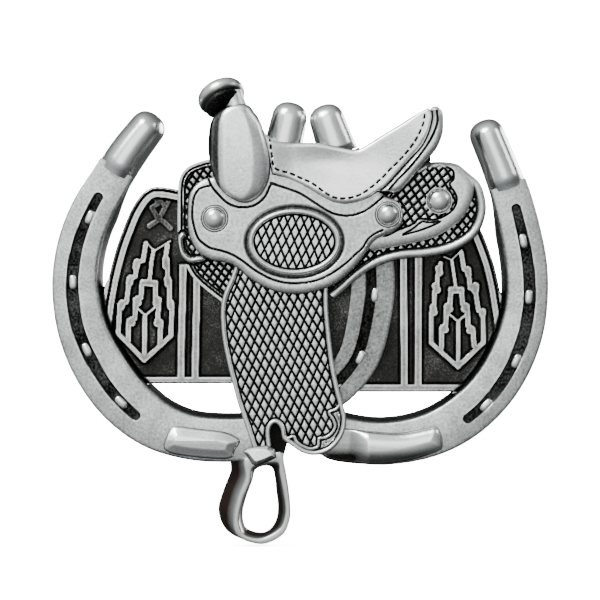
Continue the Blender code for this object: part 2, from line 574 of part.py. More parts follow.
def build_hardware():
    """Each ear holds a short pin, the bail turns on both, and the stud stands on the other side."""
    eye_low = BELT_WINDOW / 2 - 0.2
    eye_high = BELT_WINDOW / 2 + BAIL_BAR + 0.2
    ear_low = eye_high + 0.4
    ear_high = ear_low + EAR_THICKNESS
    arc = [(HINGE_X + 2.4 * math.cos(a), HINGE_Y + 2.4 * math.sin(a)) for a in spread(0.0, math.pi, 13)]
    profile = [(HINGE_X - 3.4, GAP), (HINGE_X + 3.4, GAP)] + arc
    bore = cylinder("cutter_bore", BORE_RADIUS, -ear_high - 2.0, ear_high + 2.0, (HINGE_X,
                                                                                  HINGE_Y), cutters)
    boolean(extruded("upper_bail_ear", profile, ear_low, ear_high, SATIN), bore, "DIFFERENCE")
    boolean(extruded("lower_bail_ear", profile, -ear_high, -ear_low, SATIN), bore, "DIFFERENCE")

    low, high = eye_low - GAP, ear_high + GAP
    pin = [(0.0, high + PIN_HEAD_HEIGHT), (PIN_HEAD_RADIUS, high + PIN_HEAD_HEIGHT),
           (PIN_HEAD_RADIUS, high), (PIN_RADIUS, high), (PIN_RADIUS, low), (0.0, low)]
    for side, sign in (("upper", 1), ("lower", -1)):
        profile = [(radius, sign * z) for radius, z in pin][::sign]
        obj = turned(f"{side}_bail_pin", profile, (HINGE_X, HINGE_Y, 0.0), STEEL)
        obj.rotation_euler = (0.0, 0.0, 0.0)

    reach = HINGE_X + BAIL_REACH
    half = BELT_WINDOW / 2
    outside = half + BAIL_BAR
    corner = 3.0
    inside = corner - BAIL_BAR * 0.6
    frame = [(HINGE_X, -outside)]
    frame += [(reach - corner + corner * math.cos(a), -outside + corner + corner * math.sin(a))
              for a in spread(-math.pi / 2, 0.0, 7)]
    frame += [(reach - corner + corner * math.cos(a), outside - corner + corner * math.sin(a))
              for a in spread(0.0, math.pi / 2, 7)]
    frame += [(HINGE_X, outside), (HINGE_X, half)]
    bar = reach - BAIL_BAR
    frame += [(bar - inside + inside * math.cos(a), half - inside + inside * math.sin(a))
              for a in spread(math.pi / 2, 0.0, 5)]
    frame += [(bar - inside + inside * math.cos(a), -half + inside + inside * math.sin(a))
              for a in spread(0.0, -math.pi / 2, 5)]
    frame += [(HINGE_X, -half)]
    mesh = bpy.data.meshes.new("belt_bail")
    bm = bmesh.new()
    face = bm.faces.new([bm.verts.new((x * MM, BAIL_LIFT * MM, z * MM)) for x, z in frame])
    far = bmesh.ops.extrude_face_region(bm, geom=[face])["geom"]
    moved = [v for v in far if isinstance(v, bmesh.types.BMVert)]
    bmesh.ops.translate(bm, vec=(0.0, BAIL_BAR * MM, 0.0), verts=moved)
    bmesh.ops.recalc_face_normals(bm, faces=bm.faces)
    bmesh.ops.transform(bm, matrix=Matrix.Translation(Vector((-HINGE_X, -HINGE_Y, 0.0)) * MM),
                        verts=bm.verts)
    bm.to_mesh(mesh)
    bm.free()
    bail = add_object("belt_bail", mesh, SATIN)
    bail.location = Vector((HINGE_X, HINGE_Y, 0.0)) * MM
    for name, low, high in (("cutter_upper_eye", eye_low, eye_high), ("cutter_lower_eye",
                                                                      -eye_high, -eye_low)):
        eye = cylinder(name, EYE_RADIUS, low, high, (HINGE_X, HINGE_Y), cutters)
        boolean(bail, eye, "UNION")
    boolean(bail, bore, "DIFFERENCE")

    turned("stud_base", [(0.0, 1.0), (3.6, 1.0), (4.2, 0.5), (4.2, 0.0), (0.0, 0.0)], (STUD_X, GAP,
                                                                                       0.0), SATIN)
    foot = 1.0 + 2 * GAP
    post = [(0.0, STUD_LENGTH), (2.2, STUD_LENGTH), (2.8, STUD_LENGTH - 0.6), (2.8, STUD_LENGTH - 1.4),
            (1.8, STUD_LENGTH - 2.4), (1.7, foot + 0.8), (2.3, foot), (0.0, foot)]
    turned("belt_stud", post, (STUD_X, 0.0, 0.0), POLISHED)


for old in list(bpy.data.objects):
    bpy.data.objects.remove(old, do_unlink=True)
buckle = bpy.data.collections.new("belt_buckle")
cutters = bpy.data.collections.new("cutters")
bpy.context.scene.collection.children.link(buckle)
bpy.context.scene.collection.children.link(cutters)

build_outer_shoes()
build_centre_shoe()
build_blankets()
build_saddle_base()
build_leathers()
build_seat()
build_fork_and_horn()
build_stirrup()
build_hardware()
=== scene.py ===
"""Western belt buckle in antique silver: a saddle over horseshoes, with its belt bail behind.

Outlines are (x, z) pairs in millimetres, seen from the front. A height is millimetres in front of
the flat back, so a point of an outline at that height lies at (x, -height, z). The face looks
along -Y, and +Z is up as worn.
"""
import math

import bmesh
import bpy
import numpy as np
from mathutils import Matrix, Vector


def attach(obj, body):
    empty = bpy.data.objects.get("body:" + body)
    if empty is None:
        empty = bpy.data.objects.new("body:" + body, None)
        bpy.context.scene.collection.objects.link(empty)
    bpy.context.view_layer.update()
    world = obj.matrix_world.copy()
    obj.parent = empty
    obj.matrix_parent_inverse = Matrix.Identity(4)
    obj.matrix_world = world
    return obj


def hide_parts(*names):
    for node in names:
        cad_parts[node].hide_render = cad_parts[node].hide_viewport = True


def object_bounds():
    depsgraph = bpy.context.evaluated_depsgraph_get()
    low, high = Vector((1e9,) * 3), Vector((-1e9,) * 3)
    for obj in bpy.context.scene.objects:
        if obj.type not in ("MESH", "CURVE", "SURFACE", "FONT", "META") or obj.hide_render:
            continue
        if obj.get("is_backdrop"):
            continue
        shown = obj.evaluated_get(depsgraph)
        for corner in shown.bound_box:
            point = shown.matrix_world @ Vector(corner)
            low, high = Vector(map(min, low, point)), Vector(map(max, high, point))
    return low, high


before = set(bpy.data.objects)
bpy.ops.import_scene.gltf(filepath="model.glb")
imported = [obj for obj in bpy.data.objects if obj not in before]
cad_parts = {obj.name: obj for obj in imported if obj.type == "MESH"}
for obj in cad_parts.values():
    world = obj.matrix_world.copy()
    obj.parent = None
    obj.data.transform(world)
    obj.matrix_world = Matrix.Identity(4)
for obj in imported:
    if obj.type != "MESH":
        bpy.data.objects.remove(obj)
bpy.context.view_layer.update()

# ---- Back web ------------------------------------------------------------------------------
# The thin wall behind the saddle and the blankets that joins the horseshoes into one casting.
# Zinc alloy, die cast, plated in antique silver and left dark where no buffing wheel reaches.

MM = 0.001
# Points nearer than this, in metres, are one point.
WELD = 1e-7


def along(points, t, closed=False):
    """Catmull-Rom curve: a cubic between points, with slopes of half their neighbours' gap."""
    p = np.asarray(points, float)
    if closed:
        row = np.vstack([p[-1:], p, p[:2]])
    else:
        row = np.vstack([2 * p[:1] - p[1:2], p, 2 * p[-1:] - p[-2:-1]])
    t = np.asarray(t, float)
    i = np.clip(np.floor(t).astype(int), 0, len(row) - 4)
    u = (t - i)[..., None]
    a, b, c, d = (row[i + k] for k in range(4))
    return (2 * b + (c - a) * u + (2 * a - 5 * b + 4 * c - d) * u ** 2
            + (3 * b - a - 3 * c + d) * u ** 3) / 2


def curve(points, closed=False, steps=5):
    """The Catmull-Rom curve through an outline, cut into equal steps between its points."""
    spans = len(points) if closed else len(points) - 1
    t = np.linspace(0, spans, spans * steps + 1)
    return along(points, t[:-1] if closed else t, closed)


def off_line(x, z, line):
    """Distance to a row of straight pieces, to the perpendicular's foot kept on its piece."""
    nearest = np.full(np.shape(x), 1e9)
    for (ax, az), (bx, bz) in zip(line[:-1], line[1:]):
        dx, dz = bx - ax, bz - az
        t = np.clip(((x - ax) * dx + (z - az) * dz) / max(dx * dx + dz * dz, 1e-9), 0, 1)
        nearest = np.minimum(nearest, (x - ax - t * dx) ** 2 + (z - az - t * dz) ** 2)
    return np.sqrt(nearest)


def within(x, z, outline):
    """Distance to a closed outline, positive inside, where a ray to the right crosses it oddly."""
    ring = np.vstack([outline, outline[:1]])
    odd = np.zeros(np.shape(x), bool)
    for (ax, az), (bx, bz) in zip(ring[:-1], ring[1:]):
        if az != bz:
            odd ^= ((az > z) != (bz > z)) & (x < ax + (z - az) * (bx - ax) / (bz - az))
    return np.where(odd, 1, -1) * off_line(x, z, ring)


def ease(t):
    """A smooth step from 0 to 1: 3t^2 - 2t^3, held flat outside."""
    t = np.clip(t, 0, 1)
    return t * t * (3 - 2 * t)


def band(distance, start, stop, slope=0.16):
    """1 between two distances, with a smooth step of one slope's width at each end."""
    return ease(np.minimum(distance - start, stop - distance) / slope + 0.5)


def make_piece(name, points, faces, tone, finish, crease=32):
    """A closed mesh from points in mm: doubles merged, open rims filled, faces outward."""
    mesh = bpy.data.meshes.new(name)
    mesh.from_pydata((points * MM).tolist(), [], faces.tolist())
    mesh.attributes.new("tone", "FLOAT", "POINT").data.foreach_set("value", np.ravel(tone))
    shell = bmesh.new()
    shell.from_mesh(mesh)
    bmesh.ops.remove_doubles(shell, verts=shell.verts, dist=WELD)
    bmesh.ops.holes_fill(shell, edges=[e for e in shell.edges if e.is_boundary], sides=0)
    bmesh.ops.recalc_face_normals(shell, faces=shell.faces)
    shell.to_mesh(mesh)
    shell.free()
    mesh.shade_smooth()
    mesh.set_sharp_from_angle(angle=math.radians(crease))
    mesh.materials.append(finish)
    piece = bpy.data.objects.new(name, mesh)
    bpy.context.scene.collection.objects.link(piece)
    return piece


def neighbourhood(values, reach):
    """Sum over the square of cells that reaches this far each way, by running totals."""
    for axis in (0, 1):
        edge = [(reach + 1, reach) if axis == a else (0, 0) for a in (0, 1)]
        total = np.cumsum(np.pad(values, edge), axis)
        size = values.shape[axis]
        values = (np.take(total, np.arange(2 * reach + 1, 2 * reach + 1 + size), axis)
                  - np.take(total, np.arange(size), axis))
    return values


def relief(name, region, surface, base, box, finish, pitch=0.14, buff=2.4, crease=32,
           rear=0.5):
    """A cast plate over the region where region(x, z) is above 0.

    Square cells fill the box and stay where the region is positive; their rim points slide down
    the region's slope onto 0. surface(x, z, depth) gives each point's height and its tone, which
    is 0 for black oxide and 1 for buffed metal, and which some surfaces also lower as painted
    shade; buffing adds to it where a point stands above the mean of its neighbourhood. Walls drop
    from the rim to the base, which is flat and whose tone is rear.
    """
    x, z = np.meshgrid(np.arange(box[0], box[2], pitch), np.arange(box[1], box[3], pitch))
    depth = region(x, z)
    cells = depth[:-1, :-1] + depth[1:, :-1] + depth[:-1, 1:] + depth[1:, 1:] > 0
    number = np.arange(x.size).reshape(x.shape)
    i, j = np.nonzero(cells)
    quads = np.stack([number[i, j], number[i, j + 1], number[i + 1, j + 1], number[i + 1, j]], 1)
    used, quads = np.unique(quads, return_inverse=True)
    quads = quads.reshape(-1, 4)
    shape = x.shape
    x, z = x.ravel()[used], z.ravel()[used]
    count = len(used)
    sides = np.stack([quads, np.roll(quads, -1, 1)], 2).reshape(-1, 2)
    both = np.isin(sides[:, 0] * count + sides[:, 1], sides[:, 1] * count + sides[:, 0])
    rim = sides[~both]
    border = np.unique(rim)
    bx, bz = x[border], z[border]
    nudge = 0.02
    for _ in range(4):
        gx = (region(bx + nudge, bz) - region(bx - nudge, bz)) / (2 * nudge)
        gz = (region(bx, bz + nudge) - region(bx, bz - nudge)) / (2 * nudge)
        step = region(bx, bz) / np.maximum(gx * gx + gz * gz, 0.25)
        bx, bz = bx - np.clip(gx * step, -pitch, pitch), bz - np.clip(gz * step, -pitch, pitch)
    x[border], z[border] = bx, bz
    height, tone = surface(x, z, np.maximum(region(x, z), 0))
    field, present = np.zeros(shape), np.zeros(shape)
    field.flat[used], present.flat[used] = height, 1
    reach = 3
    mean = neighbourhood(field, reach).flat[used] / neighbourhood(present, reach).flat[used]
    tone = np.clip(tone + buff * (height - mean), 0, 1)
    foot = np.zeros(count, int)
    foot[border] = count + np.arange(len(border))
    walls = np.stack([rim[:, 1], rim[:, 0], foot[rim[:, 0]], foot[rim[:, 1]]], 1)
    points = np.vstack([np.stack([x, -height, z], 1),
                        np.stack([bx, np.full(len(bx), -base), bz], 1)])
    tone = np.concatenate([tone, np.full(len(bx), rear)])
    return make_piece(name, points, np.vstack([quads, walls]), tone, finish, crease)


def linear(colour):
    """An sRGB hex colour as linear red, green and blue, with alpha 1."""
    parts = [int(colour[i:i + 2], 16) / 255 for i in (1, 3, 5)]
    return [c / 12.92 if c <= 0.04045 else ((c + 0.055) / 1.055) ** 2.4 for c in parts] + [1.0]


def add_node(tree, kind, inputs=None, **settings):
    """Adds a node, sets its properties, and links or sets each of the inputs given."""
    made = tree.nodes.new(kind)
    for key, value in settings.items():
        setattr(made, key, value)
    for key, value in (inputs or {}).items():
        if isinstance(value, bpy.types.NodeSocket):
            tree.links.new(value, made.inputs[key])
        else:
            made.inputs[key].default_value = value
    return made


# In millimetres: the width of a cloud in the tarnish, and the depth of the cast grain.
CLOUD_SIZE = 6.0
GRAIN_DEPTH = 0.06


def silver(name, colours, roughness, grain_size=0.3, grain=0.16, cloud=0.12, bump=0.35):
    """Plated silver by tone: black oxide in the recesses, then grey, then bright buffed metal;
    some pieces also lower the tone as painted shade.

    The tone attribute, shaken by a fine grain and a slow cloud, picks the colour from four steps
    and the roughness between two values, since the oxide is matt and the buffed metal is not.
    """
    material = bpy.data.materials.new(name)
    material.use_nodes = True
    tree = material.node_tree
    tree.nodes.clear()
    place = add_node(tree, "ShaderNodeTexCoord").outputs["Object"]
    tone = add_node(tree, "ShaderNodeAttribute", attribute_name="tone").outputs["Fac"]
    fine = add_node(tree, "ShaderNodeTexNoise", {
        "Vector": place, "Scale": 1 / (grain_size * MM), "Detail": 3.0, "Roughness": 0.62})
    slow = add_node(tree, "ShaderNodeTexNoise", {
        "Vector": place, "Scale": 1 / (CLOUD_SIZE * MM), "Detail": 2.0})
    for noise, share in ((fine, grain), (slow, cloud)):
        wave = add_node(tree, "ShaderNodeMath", {0: noise.outputs["Fac"], 1: -0.5},
                        operation="ADD")
        tone = add_node(tree, "ShaderNodeMath", {0: wave.outputs[0], 1: 2 * share, 2: tone},
                        operation="MULTIPLY_ADD").outputs[0]
    ramp = add_node(tree, "ShaderNodeValToRGB", {"Fac": tone})
    stops = ramp.color_ramp.elements
    for place_on_ramp in (0.34, 0.66):
        stops.new(place_on_ramp)
    for stop, colour in zip(stops, colours):
        stop.color = linear(colour)
    matt = add_node(tree, "ShaderNodeMapRange", {
        "Value": tone, "From Min": 0.1, "From Max": 0.9,
        "To Min": roughness[0], "To Max": roughness[1]})
    skin = add_node(tree, "ShaderNodeBump", {
        "Height": fine.outputs["Fac"], "Strength": bump, "Distance": GRAIN_DEPTH * MM})
    shader = add_node(tree, "ShaderNodeBsdfPrincipled", {
        "Base Color": ramp.outputs["Color"], "Metallic": 1.0,
        "Roughness": matt.outputs["Result"], "Normal": skin.outputs["Normal"]})
    add_node(tree, "ShaderNodeOutputMaterial", {"Surface": shader.outputs["BSDF"]})
    return material


# Blackened silver: the eye sees soft black metal with a sandy grain and grey only on high places.
blackened = silver("blackened silver plate, as cast",
                   ("#0B0A09", "#2E2D2B", "#6E6F6C", "#B9BCB9"), (0.62, 0.42), grain_size=0.35)
# Tooled silver: buffed across stamped leather patterns, so every line stays black.
tooled = silver("tooled silver plate, oxide in the lines",
                ("#090807", "#4A4A48", "#A6A9A7", "#E6E9E7"), (0.55, 0.34), grain_size=0.42,
                grain=0.34, bump=0.6)
# Antique silver: satin grey faces with black left only in grooves and corners.
antique = silver("antique silver plate, satin buffed",
                 ("#090807", "#5C5E5C", "#AEB3B1", "#EDF0EE"), (0.5, 0.36), grain_size=0.45,
                 grain=0.42, bump=0.8)
# Bright satin silver: the seat and the pad of the fork, rubbed until the grain nearly went.
bright = silver("bright satin silver plate",
                ("#090807", "#6A6C6A", "#BCC1BF", "#FAFCFA"), (0.5, 0.3), grain_size=0.45,
                grain=0.3, bump=0.7)
# Polished silver: bright rounded caps and studs with a faint grain left by the wheel.
polished = silver("polished silver plate",
                  ("#12110F", "#777977", "#BCC1BF", "#FAFCFA"), (0.42, 0.25), grain=0.12,
                  cloud=0.1, bump=0.3)


def fit(piece, slot, *nodes, body="buckle"):
    """Fixes a piece to its body, in place of the nodes it stands for; the slot argument is not
    used.
    """
    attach(piece, body)
    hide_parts(*nodes)
    return piece


LEFT_LINE = [(-27.9, 32.8, 3.3), (-31.1, 28.6, 3.5), (-34.4, 23.4, 3.6), (-37.3, 18.5, 3.8),
             (-39.4, 13.3, 3.9), (-40.5, 7.7, 4.0), (-40.4, 2.2, 4.2), (-39.1, -4.0, 4.4),
             (-36.2, -10.1, 4.7), (-32.0, -15.8, 4.7), (-26.5, -20.3, 4.4), (-20.2, -22.7, 4.0),
             (-13.5, -23.3, 3.9), (-6.8, -22.9, 3.8)]
RIGHT_LINE = [(34.0, 31.5, 3.2), (36.2, 26.1, 3.3), (38.2, 20.5, 3.5), (39.9, 14.0, 3.6),
              (40.9, 8.1, 3.7), (41.0, 2.2, 3.7), (40.0, -3.6, 3.9), (37.7, -9.5, 4.0),
              (34.4, -14.6, 4.0), (29.9, -18.9, 4.0), (24.5, -22.0, 3.9), (18.4, -23.6, 3.8),
              (12.1, -23.8, 3.8), (4.2, -22.2, 3.7)]


def stand_on(line, t):
    """Places on a centre line, their half widths, and the unit vectors to the right of travel."""
    here = along(line, t)
    travel = (along(line, t + 0.02) - along(line, t - 0.02))[:, :2]
    travel /= np.hypot(travel[:, 0], travel[:, 1])[:, None]
    return here[:, :2], here[:, 2], np.stack([travel[:, 1], -travel[:, 0]], 1)


def beside(line, start, stop, side, extra):
    """A row of points one half width and a little more to one side of a centre line."""
    centre, half, right = stand_on(line, np.linspace(start, stop, 24))
    return centre + side * (half + extra)[:, None] * right


LEFT_BORDER = [(-22.0, 21.9), (-24.1, 22.3), (-26.3, 22.4), (-27.9, 21.7), (-29.3, 20.2),
               (-30.7, 17.8), (-31.9, 14.9), (-33.0, 11.9), (-33.9, 8.8), (-34.6, 5.9)]
RIGHT_BORDER = [(32.8, 14.4), (33.8, 11.9), (34.9, 8.8), (35.7, 5.6), (36.1, 3.6)]
SHOE_DRAFT = 0.7
left_shore = np.vstack([curve(LEFT_BORDER), beside(LEFT_LINE, 5.75, 9.3, -1, SHOE_DRAFT)])
right_shore = np.vstack([curve(RIGHT_BORDER), beside(RIGHT_LINE, 4.95, 8.95, 1, SHOE_DRAFT)])
left_panel = np.vstack([left_shore, [(-30.4, -13.1), (-10.6, -13.1), (-10.6, 2.0),
                                     (-14.0, 8.0), (-15.0, 23.5)]])
right_panel = np.vstack([right_shore, [(33.0, -14.6), (6.0, -14.6), (4.0, 3.0), (20.0, 16.0),
                                       (30.0, 20.0)]])
tree_outline = np.array([
    (-20.2, 25.4), (-15.9, 26.8), (-15.8, 31.7), (-14.8, 34.8), (-9.7, 36.4), (-6.9, 31.6),
    (-5.0, 30.0), (3.6, 29.8), (10.3, 28.7), (15.3, 31.4), (23.0, 35.9), (24.9, 35.2),
    (25.1, 31.8), (23.6, 28.4), (23.6, 26.3), (27.7, 26.0), (31.7, 22.8), (32.8, 18.0),
    (30.7, 13.6), (25.7, 10.9), (6.4, -15.4), (6.2, -16.9), (2.9, -17.2), (-2.2, -23.6),
    (-3.0, -26.5), (-6.9, -26.5), (-7.2, -19.2), (-10.8, -17.2), (-11.4, -1.0), (-21.2, 12.0)])


def web_region(x, z):
    """Inside the tree or either blanket: the greatest of the three distances."""
    return np.maximum.reduce([within(x, z, o) for o in (tree_outline, left_panel, right_panel)])


# Each border's binding runs on under the shoe that covers its end.
left_border_line = np.vstack([curve(LEFT_BORDER), [(-35.4, 1.6), (-36.0, -3.0)]])
right_border_line = np.vstack([curve(RIGHT_BORDER), [(36.9, -1.4), (37.2, -5.0)]])
fit(relief("back_web", web_region, lambda x, z, depth: (1.3 + 0 * x, 0.25 + 0 * x), 0.3,
           (-38, -28, 38, 38), blackened, pitch=0.3, rear=0.95), "blackened_silver",
    "saddle_tree")

# ---- Blanket panels ------------------------------------------------------------------------
# A woven blanket hangs each side of the saddle, with a bound edge, a hem, two stripes and a
# stepped medallion. Cast as raised lines on a dark sanded ground.

# Blackened silver with its raised lines rubbed back to grey.
blackened_bright = silver("blackened silver plate, high lines rubbed bright",
                          ("#0B0A09", "#353533", "#8F918E", "#D5D8D5"), (0.6, 0.34),
                          grain=0.3, cloud=0.2)
# The blanket's height at its edge, from which it rounds up 0.25 mm to its ground.
BLANKET_RIM = 1.35


def blanket(name, outline, border, hem, stripes, strokes, worn, box):
    """The border, hem, stripes and medallion are bands round lines, raised from the ground."""
    def surface(x, z, depth):
        from_edge = off_line(x, z, border)
        raised = 0.75 * band(from_edge, -1, 0.42) + 0.95 * band(from_edge, 0.8, 1.95)
        drawn = np.zeros_like(x)
        for half, line in strokes:
            drawn = np.maximum(drawn, band(off_line(x, z, np.array(line)), -1, 1.12 * half))
        for half, line in worn:
            drawn = np.maximum(drawn, 0.25 * band(off_line(x, z, np.array(line)), -1, half, 0.3))
        clear = ease((from_edge - 1.9) / 0.3)
        for bottom, top, head in stripes:
            middle = bottom + (top - bottom) * ease((z - hem[1]) / (head - hem[1]))
            stripe = band(np.abs(x - middle), -1, 0.7) * band(z, hem[0], head)
            drawn = np.maximum(drawn, stripe)
        drawn = np.maximum(drawn, band(z, hem[0] - 1, hem[1]))
        raised = np.maximum(raised, 0.95 * drawn * clear)
        edge = 0.25 * ease(depth / 0.3)
        ripple = 0.008 * np.sin(x * 2.1) * np.sin(z * 1.7)
        return BLANKET_RIM + edge + raised + ripple, 0.3 + 0.42 * raised
    return relief(name, lambda x, z: within(x, z, outline), surface, 1.2, box, blackened_bright,
                  rear=0.8)


WORN_CURL = [(0.5, [(-26.1, 20.7), (-25.7, 19.3), (-26.8, 18.7), (-26.1, 17.5), (-25.6, 16.4),
                    (-27.2, 15.3)]),
             (0.5, [(-23.6, 20.2), (-24.8, 17.8), (-25.5, 16.7), (-24.5, 16.0), (-23.4, 14.9)]),
             (0.45, [(-25.2, 20.0), (-24.5, 18.9)])]
LEFT_MEDALLION = [
    (0.46, [(-27.8, 12.2), (-28.3, 9.1), (-29.4, 8.8), (-29.7, 6.2), (-30.8, 5.7), (-31.3, 1.6),
            (-32.5, 1.2), (-32.8, -4.1), (-28.1, -8.9)]),
    (0.46, [(-23.9, 11.8), (-24.4, 8.9), (-23.9, 8.4), (-23.9, 5.8), (-23.5, 5.4), (-23.6, 1.6),
            (-23.1, 1.1), (-23.3, -4.5), (-28.1, -8.9)]),
    (0.2, [(-27.8, 12.5), (-26.3, 10.8), (-23.4, 12.6)]),
    (0.4, [(-26.4, 10.9), (-26.8, 8.9), (-27.1, 5.8)]),
    (0.48, [(-27.2, 5.2), (-28.5, 5.2), (-28.7, 2.4), (-29.7, 2.1), (-29.8, -1.4), (-30.9, -1.7),
            (-31.0, -5.4)]),
    (0.48, [(-27.2, 5.2), (-26.0, 5.1), (-26.1, 2.4), (-25.4, 2.1), (-25.7, -1.6), (-25.1, -1.9),
            (-25.3, -5.8)]),
    (0.26, [(-29.9, 1.0), (-27.9, -0.8), (-25.7, 1.0)]),
    (0.45, [(-28.0, -1.0), (-28.1, -8.4)]),
    (0.66, [(-29.4, 8.8), (-29.6, 7.9)]), (0.66, [(-30.6, 5.9), (-30.8, 5.0)]),
    (0.66, [(-32.1, 1.4), (-32.3, 0.7)]), (0.66, [(-24.2, 9.3), (-24.2, 8.1)]),
    (0.66, [(-23.9, 5.8), (-23.8, 4.8)]), (0.66, [(-23.4, 1.5), (-23.3, 0.7)]),
    (0.62, [(-28.2, 5.1), (-26.2, 5.0)]), (0.62, [(-29.3, 2.2), (-29.2, 1.4)]),
    (0.62, [(-25.9, 2.2), (-26.0, 1.4)]), (0.6, [(-30.4, -1.6), (-30.3, -2.2)]),
    (0.6, [(-25.7, -1.8), (-25.8, -2.3)]),
]
RIGHT_MEDALLION = [
    (0.44, [(25.4, 8.6), (25.1, 6.7), (24.8, 6.4), (24.7, 4.0), (24.3, 3.6), (24.2, 0.1),
            (23.7, -0.3), (23.7, -5.8), (28.5, -10.1)]),
    (0.46, [(29.1, 10.5), (29.6, 7.5), (30.4, 7.2), (30.7, 4.1), (31.6, 3.9), (32.2, 0.1),
            (33.0, -0.2), (33.1, -5.7), (28.5, -10.1)]),
    (0.18, [(25.9, 9.8), (27.4, 9.2), (29.2, 11.0)]),
    (0.34, [(27.4, 9.1), (28.1, 4.3)]),
    (0.48, [(28.1, 3.8), (27.2, 3.7), (27.1, 1.2), (26.4, 0.8), (26.3, -2.6), (25.6, -3.0),
            (25.5, -6.7)]),
    (0.48, [(28.1, 3.8), (29.2, 3.7), (29.3, 1.3), (30.2, 0.9), (30.3, -2.7), (31.2, -3.2),
            (31.4, -6.3)]),
    (0.26, [(26.6, -0.3), (28.5, -1.9), (30.3, -0.4)]),
    (0.4, [(28.6, -1.9), (28.5, -9.4)]),
    (0.64, [(25.0, 7.7), (25.2, 6.9)]), (0.66, [(24.4, 4.5), (24.8, 3.8)]),
    (0.64, [(24.0, 0.7), (24.2, -0.3)]), (0.6, [(30.3, 7.5), (30.4, 6.5)]),
    (0.68, [(31.7, 4.5), (31.6, 3.7)]), (0.62, [(33.0, -0.1), (32.9, -0.6)]),
    (0.62, [(27.3, 3.8), (29.1, 3.8)]), (0.6, [(26.6, 0.9), (27.1, 0.3)]),
    (0.6, [(30.0, 0.9), (29.6, 0.3)]), (0.6, [(25.9, -3.1), (26.3, -3.4)]),
    (0.6, [(30.9, -3.2), (30.6, -3.6)]),
]
fit(blanket("left_blanket_panel", left_panel, left_border_line, (-13.1, -11.9),
            ((-21.5, -21.1, 8.5), (-18.9, -18.6, 7.0)), LEFT_MEDALLION, WORN_CURL,
            (-37, -13.5, -10, 24)),
    "blackened_silver", "left_blanket", "left_blanket_trim", "left_blanket_figure")
fit(blanket("right_blanket_panel", right_panel, right_border_line, (-14.6, -13.2),
            ((18.8, 18.7, 10.5), (21.3, 21.4, 11.0)), RIGHT_MEDALLION, (),
            (3, -15, 39, 21)),
    "blackened_silver", "right_blanket", "right_blanket_trim", "right_blanket_figure")

# ---- Outer horseshoes ----------------------------------------------------------------------
# Two shoes, open end up, form the outer frame. Each is a drafted bar with a crowned face, a
# fullered nail groove, and a wall that leans in to the blankets, darkened partly as oxide and
# partly as painted shade. Hollowed a little behind.


def sweep(name, line, t, inner, offsets, heights, tone, finish, ahead=0.0, crease=32):
    """A section carried along a centre line: each column stands at its offset to the inner side.

    A point is the centre at t, moved by its offset along the side vector, by ahead along the
    direction of travel, and out to its height. Columns close into a ring, and ends are filled.
    """
    centre, _, right = stand_on(line, t)
    forward = np.stack([-right[:, 1], right[:, 0]], 1)
    centre = centre + np.reshape(ahead, (-1, 1)) * forward
    flat = centre[:, None, :] + inner * offsets[:, :, None] * right[:, None, :]
    points = np.stack([flat[..., 0], -heights, flat[..., 1]], 2).reshape(-1, 3)
    return make_piece(name, points, ring_faces(*heights.shape), tone, finish, crease)


def ring_faces(rows, columns):
    """Quads between neighbouring rows of a grid whose last column meets its first."""
    i, j = np.meshgrid(np.arange(rows - 1), np.arange(columns), indexing="ij")
    k = (j + 1) % columns
    quads = [i * columns + j, i * columns + k, (i + 1) * columns + k, (i + 1) * columns + j]
    return np.stack(quads, 2).reshape(-1, 4)


def shoe(name, line, inner, cap, end, groove):
    """Width w: an outer wall, a rounded edge, a face crowned by the square of the offset with a
    stadium-shaped groove cut into it, a rounded edge, a leaning inner wall and a hollow back."""
    top, fillet, depth_cut = 4.2, 0.55, 1.1
    t = np.linspace(cap - 0.1, end, 660)
    centre, half, _ = stand_on(line, t)
    length = np.concatenate([[0], np.cumsum(np.hypot(*np.diff(centre, axis=0).T))])
    start, stop = np.interp(groove, t, length)
    w, s = half[:, None], length[:, None]
    turn = np.linspace(0, math.pi / 2, 5)[None, :]
    face = np.linspace(-1, 1, 46)[None, :] * (w - fillet)
    back = np.linspace(1, 0, 11)[None, :]
    one, lean = np.ones_like(w), ease((t[:, None] - cap) / 1.4)
    offsets = np.hstack([
        -w - 0.2 * lean * [[1, 0.5, 0.1]], -w + fillet * (1 - np.cos(turn)), face,
        w - fillet + fillet * np.sin(turn), w + lean * [[0.25, 0.6, 0.95]],
        -w + back * (2 * w + 0.6 * lean)])
    crown = top - 0.3 * (face / w) ** 2
    heights = np.hstack([
        one * [[0.15, 1.8, 3.3]], top - 0.3 - fillet + fillet * np.sin(turn) * one, crown,
        top - 0.3 - fillet + fillet * np.cos(turn) * one, one * [[2.6, 1.3, 0.2]],
        0.6 * np.sin(math.pi * np.clip(back * 1.3 - 0.15, 0, 1)) * one])
    width = 0.85 + 0.3 * np.sin(math.pi * np.clip((s - start) / (stop - start), 0, 1))
    shift = -0.1 - 0.45 * ease((t[:, None] - 3) / 4)
    beyond = np.maximum(np.maximum(start + width - s, s - stop + width), 0)
    outside = np.hypot(beyond, offsets - shift) - width
    cut = ease(-outside / 0.28) * (heights > 2.9)
    lip = band(np.abs(outside - 0.12), -1, 0.14) * (heights > 2.9)
    heights = heights - depth_cut * cut
    scuff = 0.05 * np.sin(s * 0.9) * np.sin(s * 0.37 + 2)
    tone = 0.74 + scuff - 0.66 * cut + 0.2 * lip
    wall = offsets - w
    # The inner wall is toned near black, partly as oxide and partly as painted shade between the
    # shoe and the blanket.
    tone = np.where((wall > -0.1) & (heights > 0.1), 0.74 - 0.72 * ease((wall + 0.1) / 0.3), tone)
    tone = np.where(heights < 0.65, 0.5, tone)
    return sweep(name, line, t, inner, offsets, heights, tone, antique)


fit(shoe("left_outer_shoe", LEFT_LINE, -1, 1.65, 13.0, (2.45, 9.65)), "antique_silver",
    "left_horseshoe")
fit(shoe("right_outer_shoe", RIGHT_LINE, 1, 1.7, 13.0, (2.2, 9.15)), "antique_silver",
    "right_horseshoe")

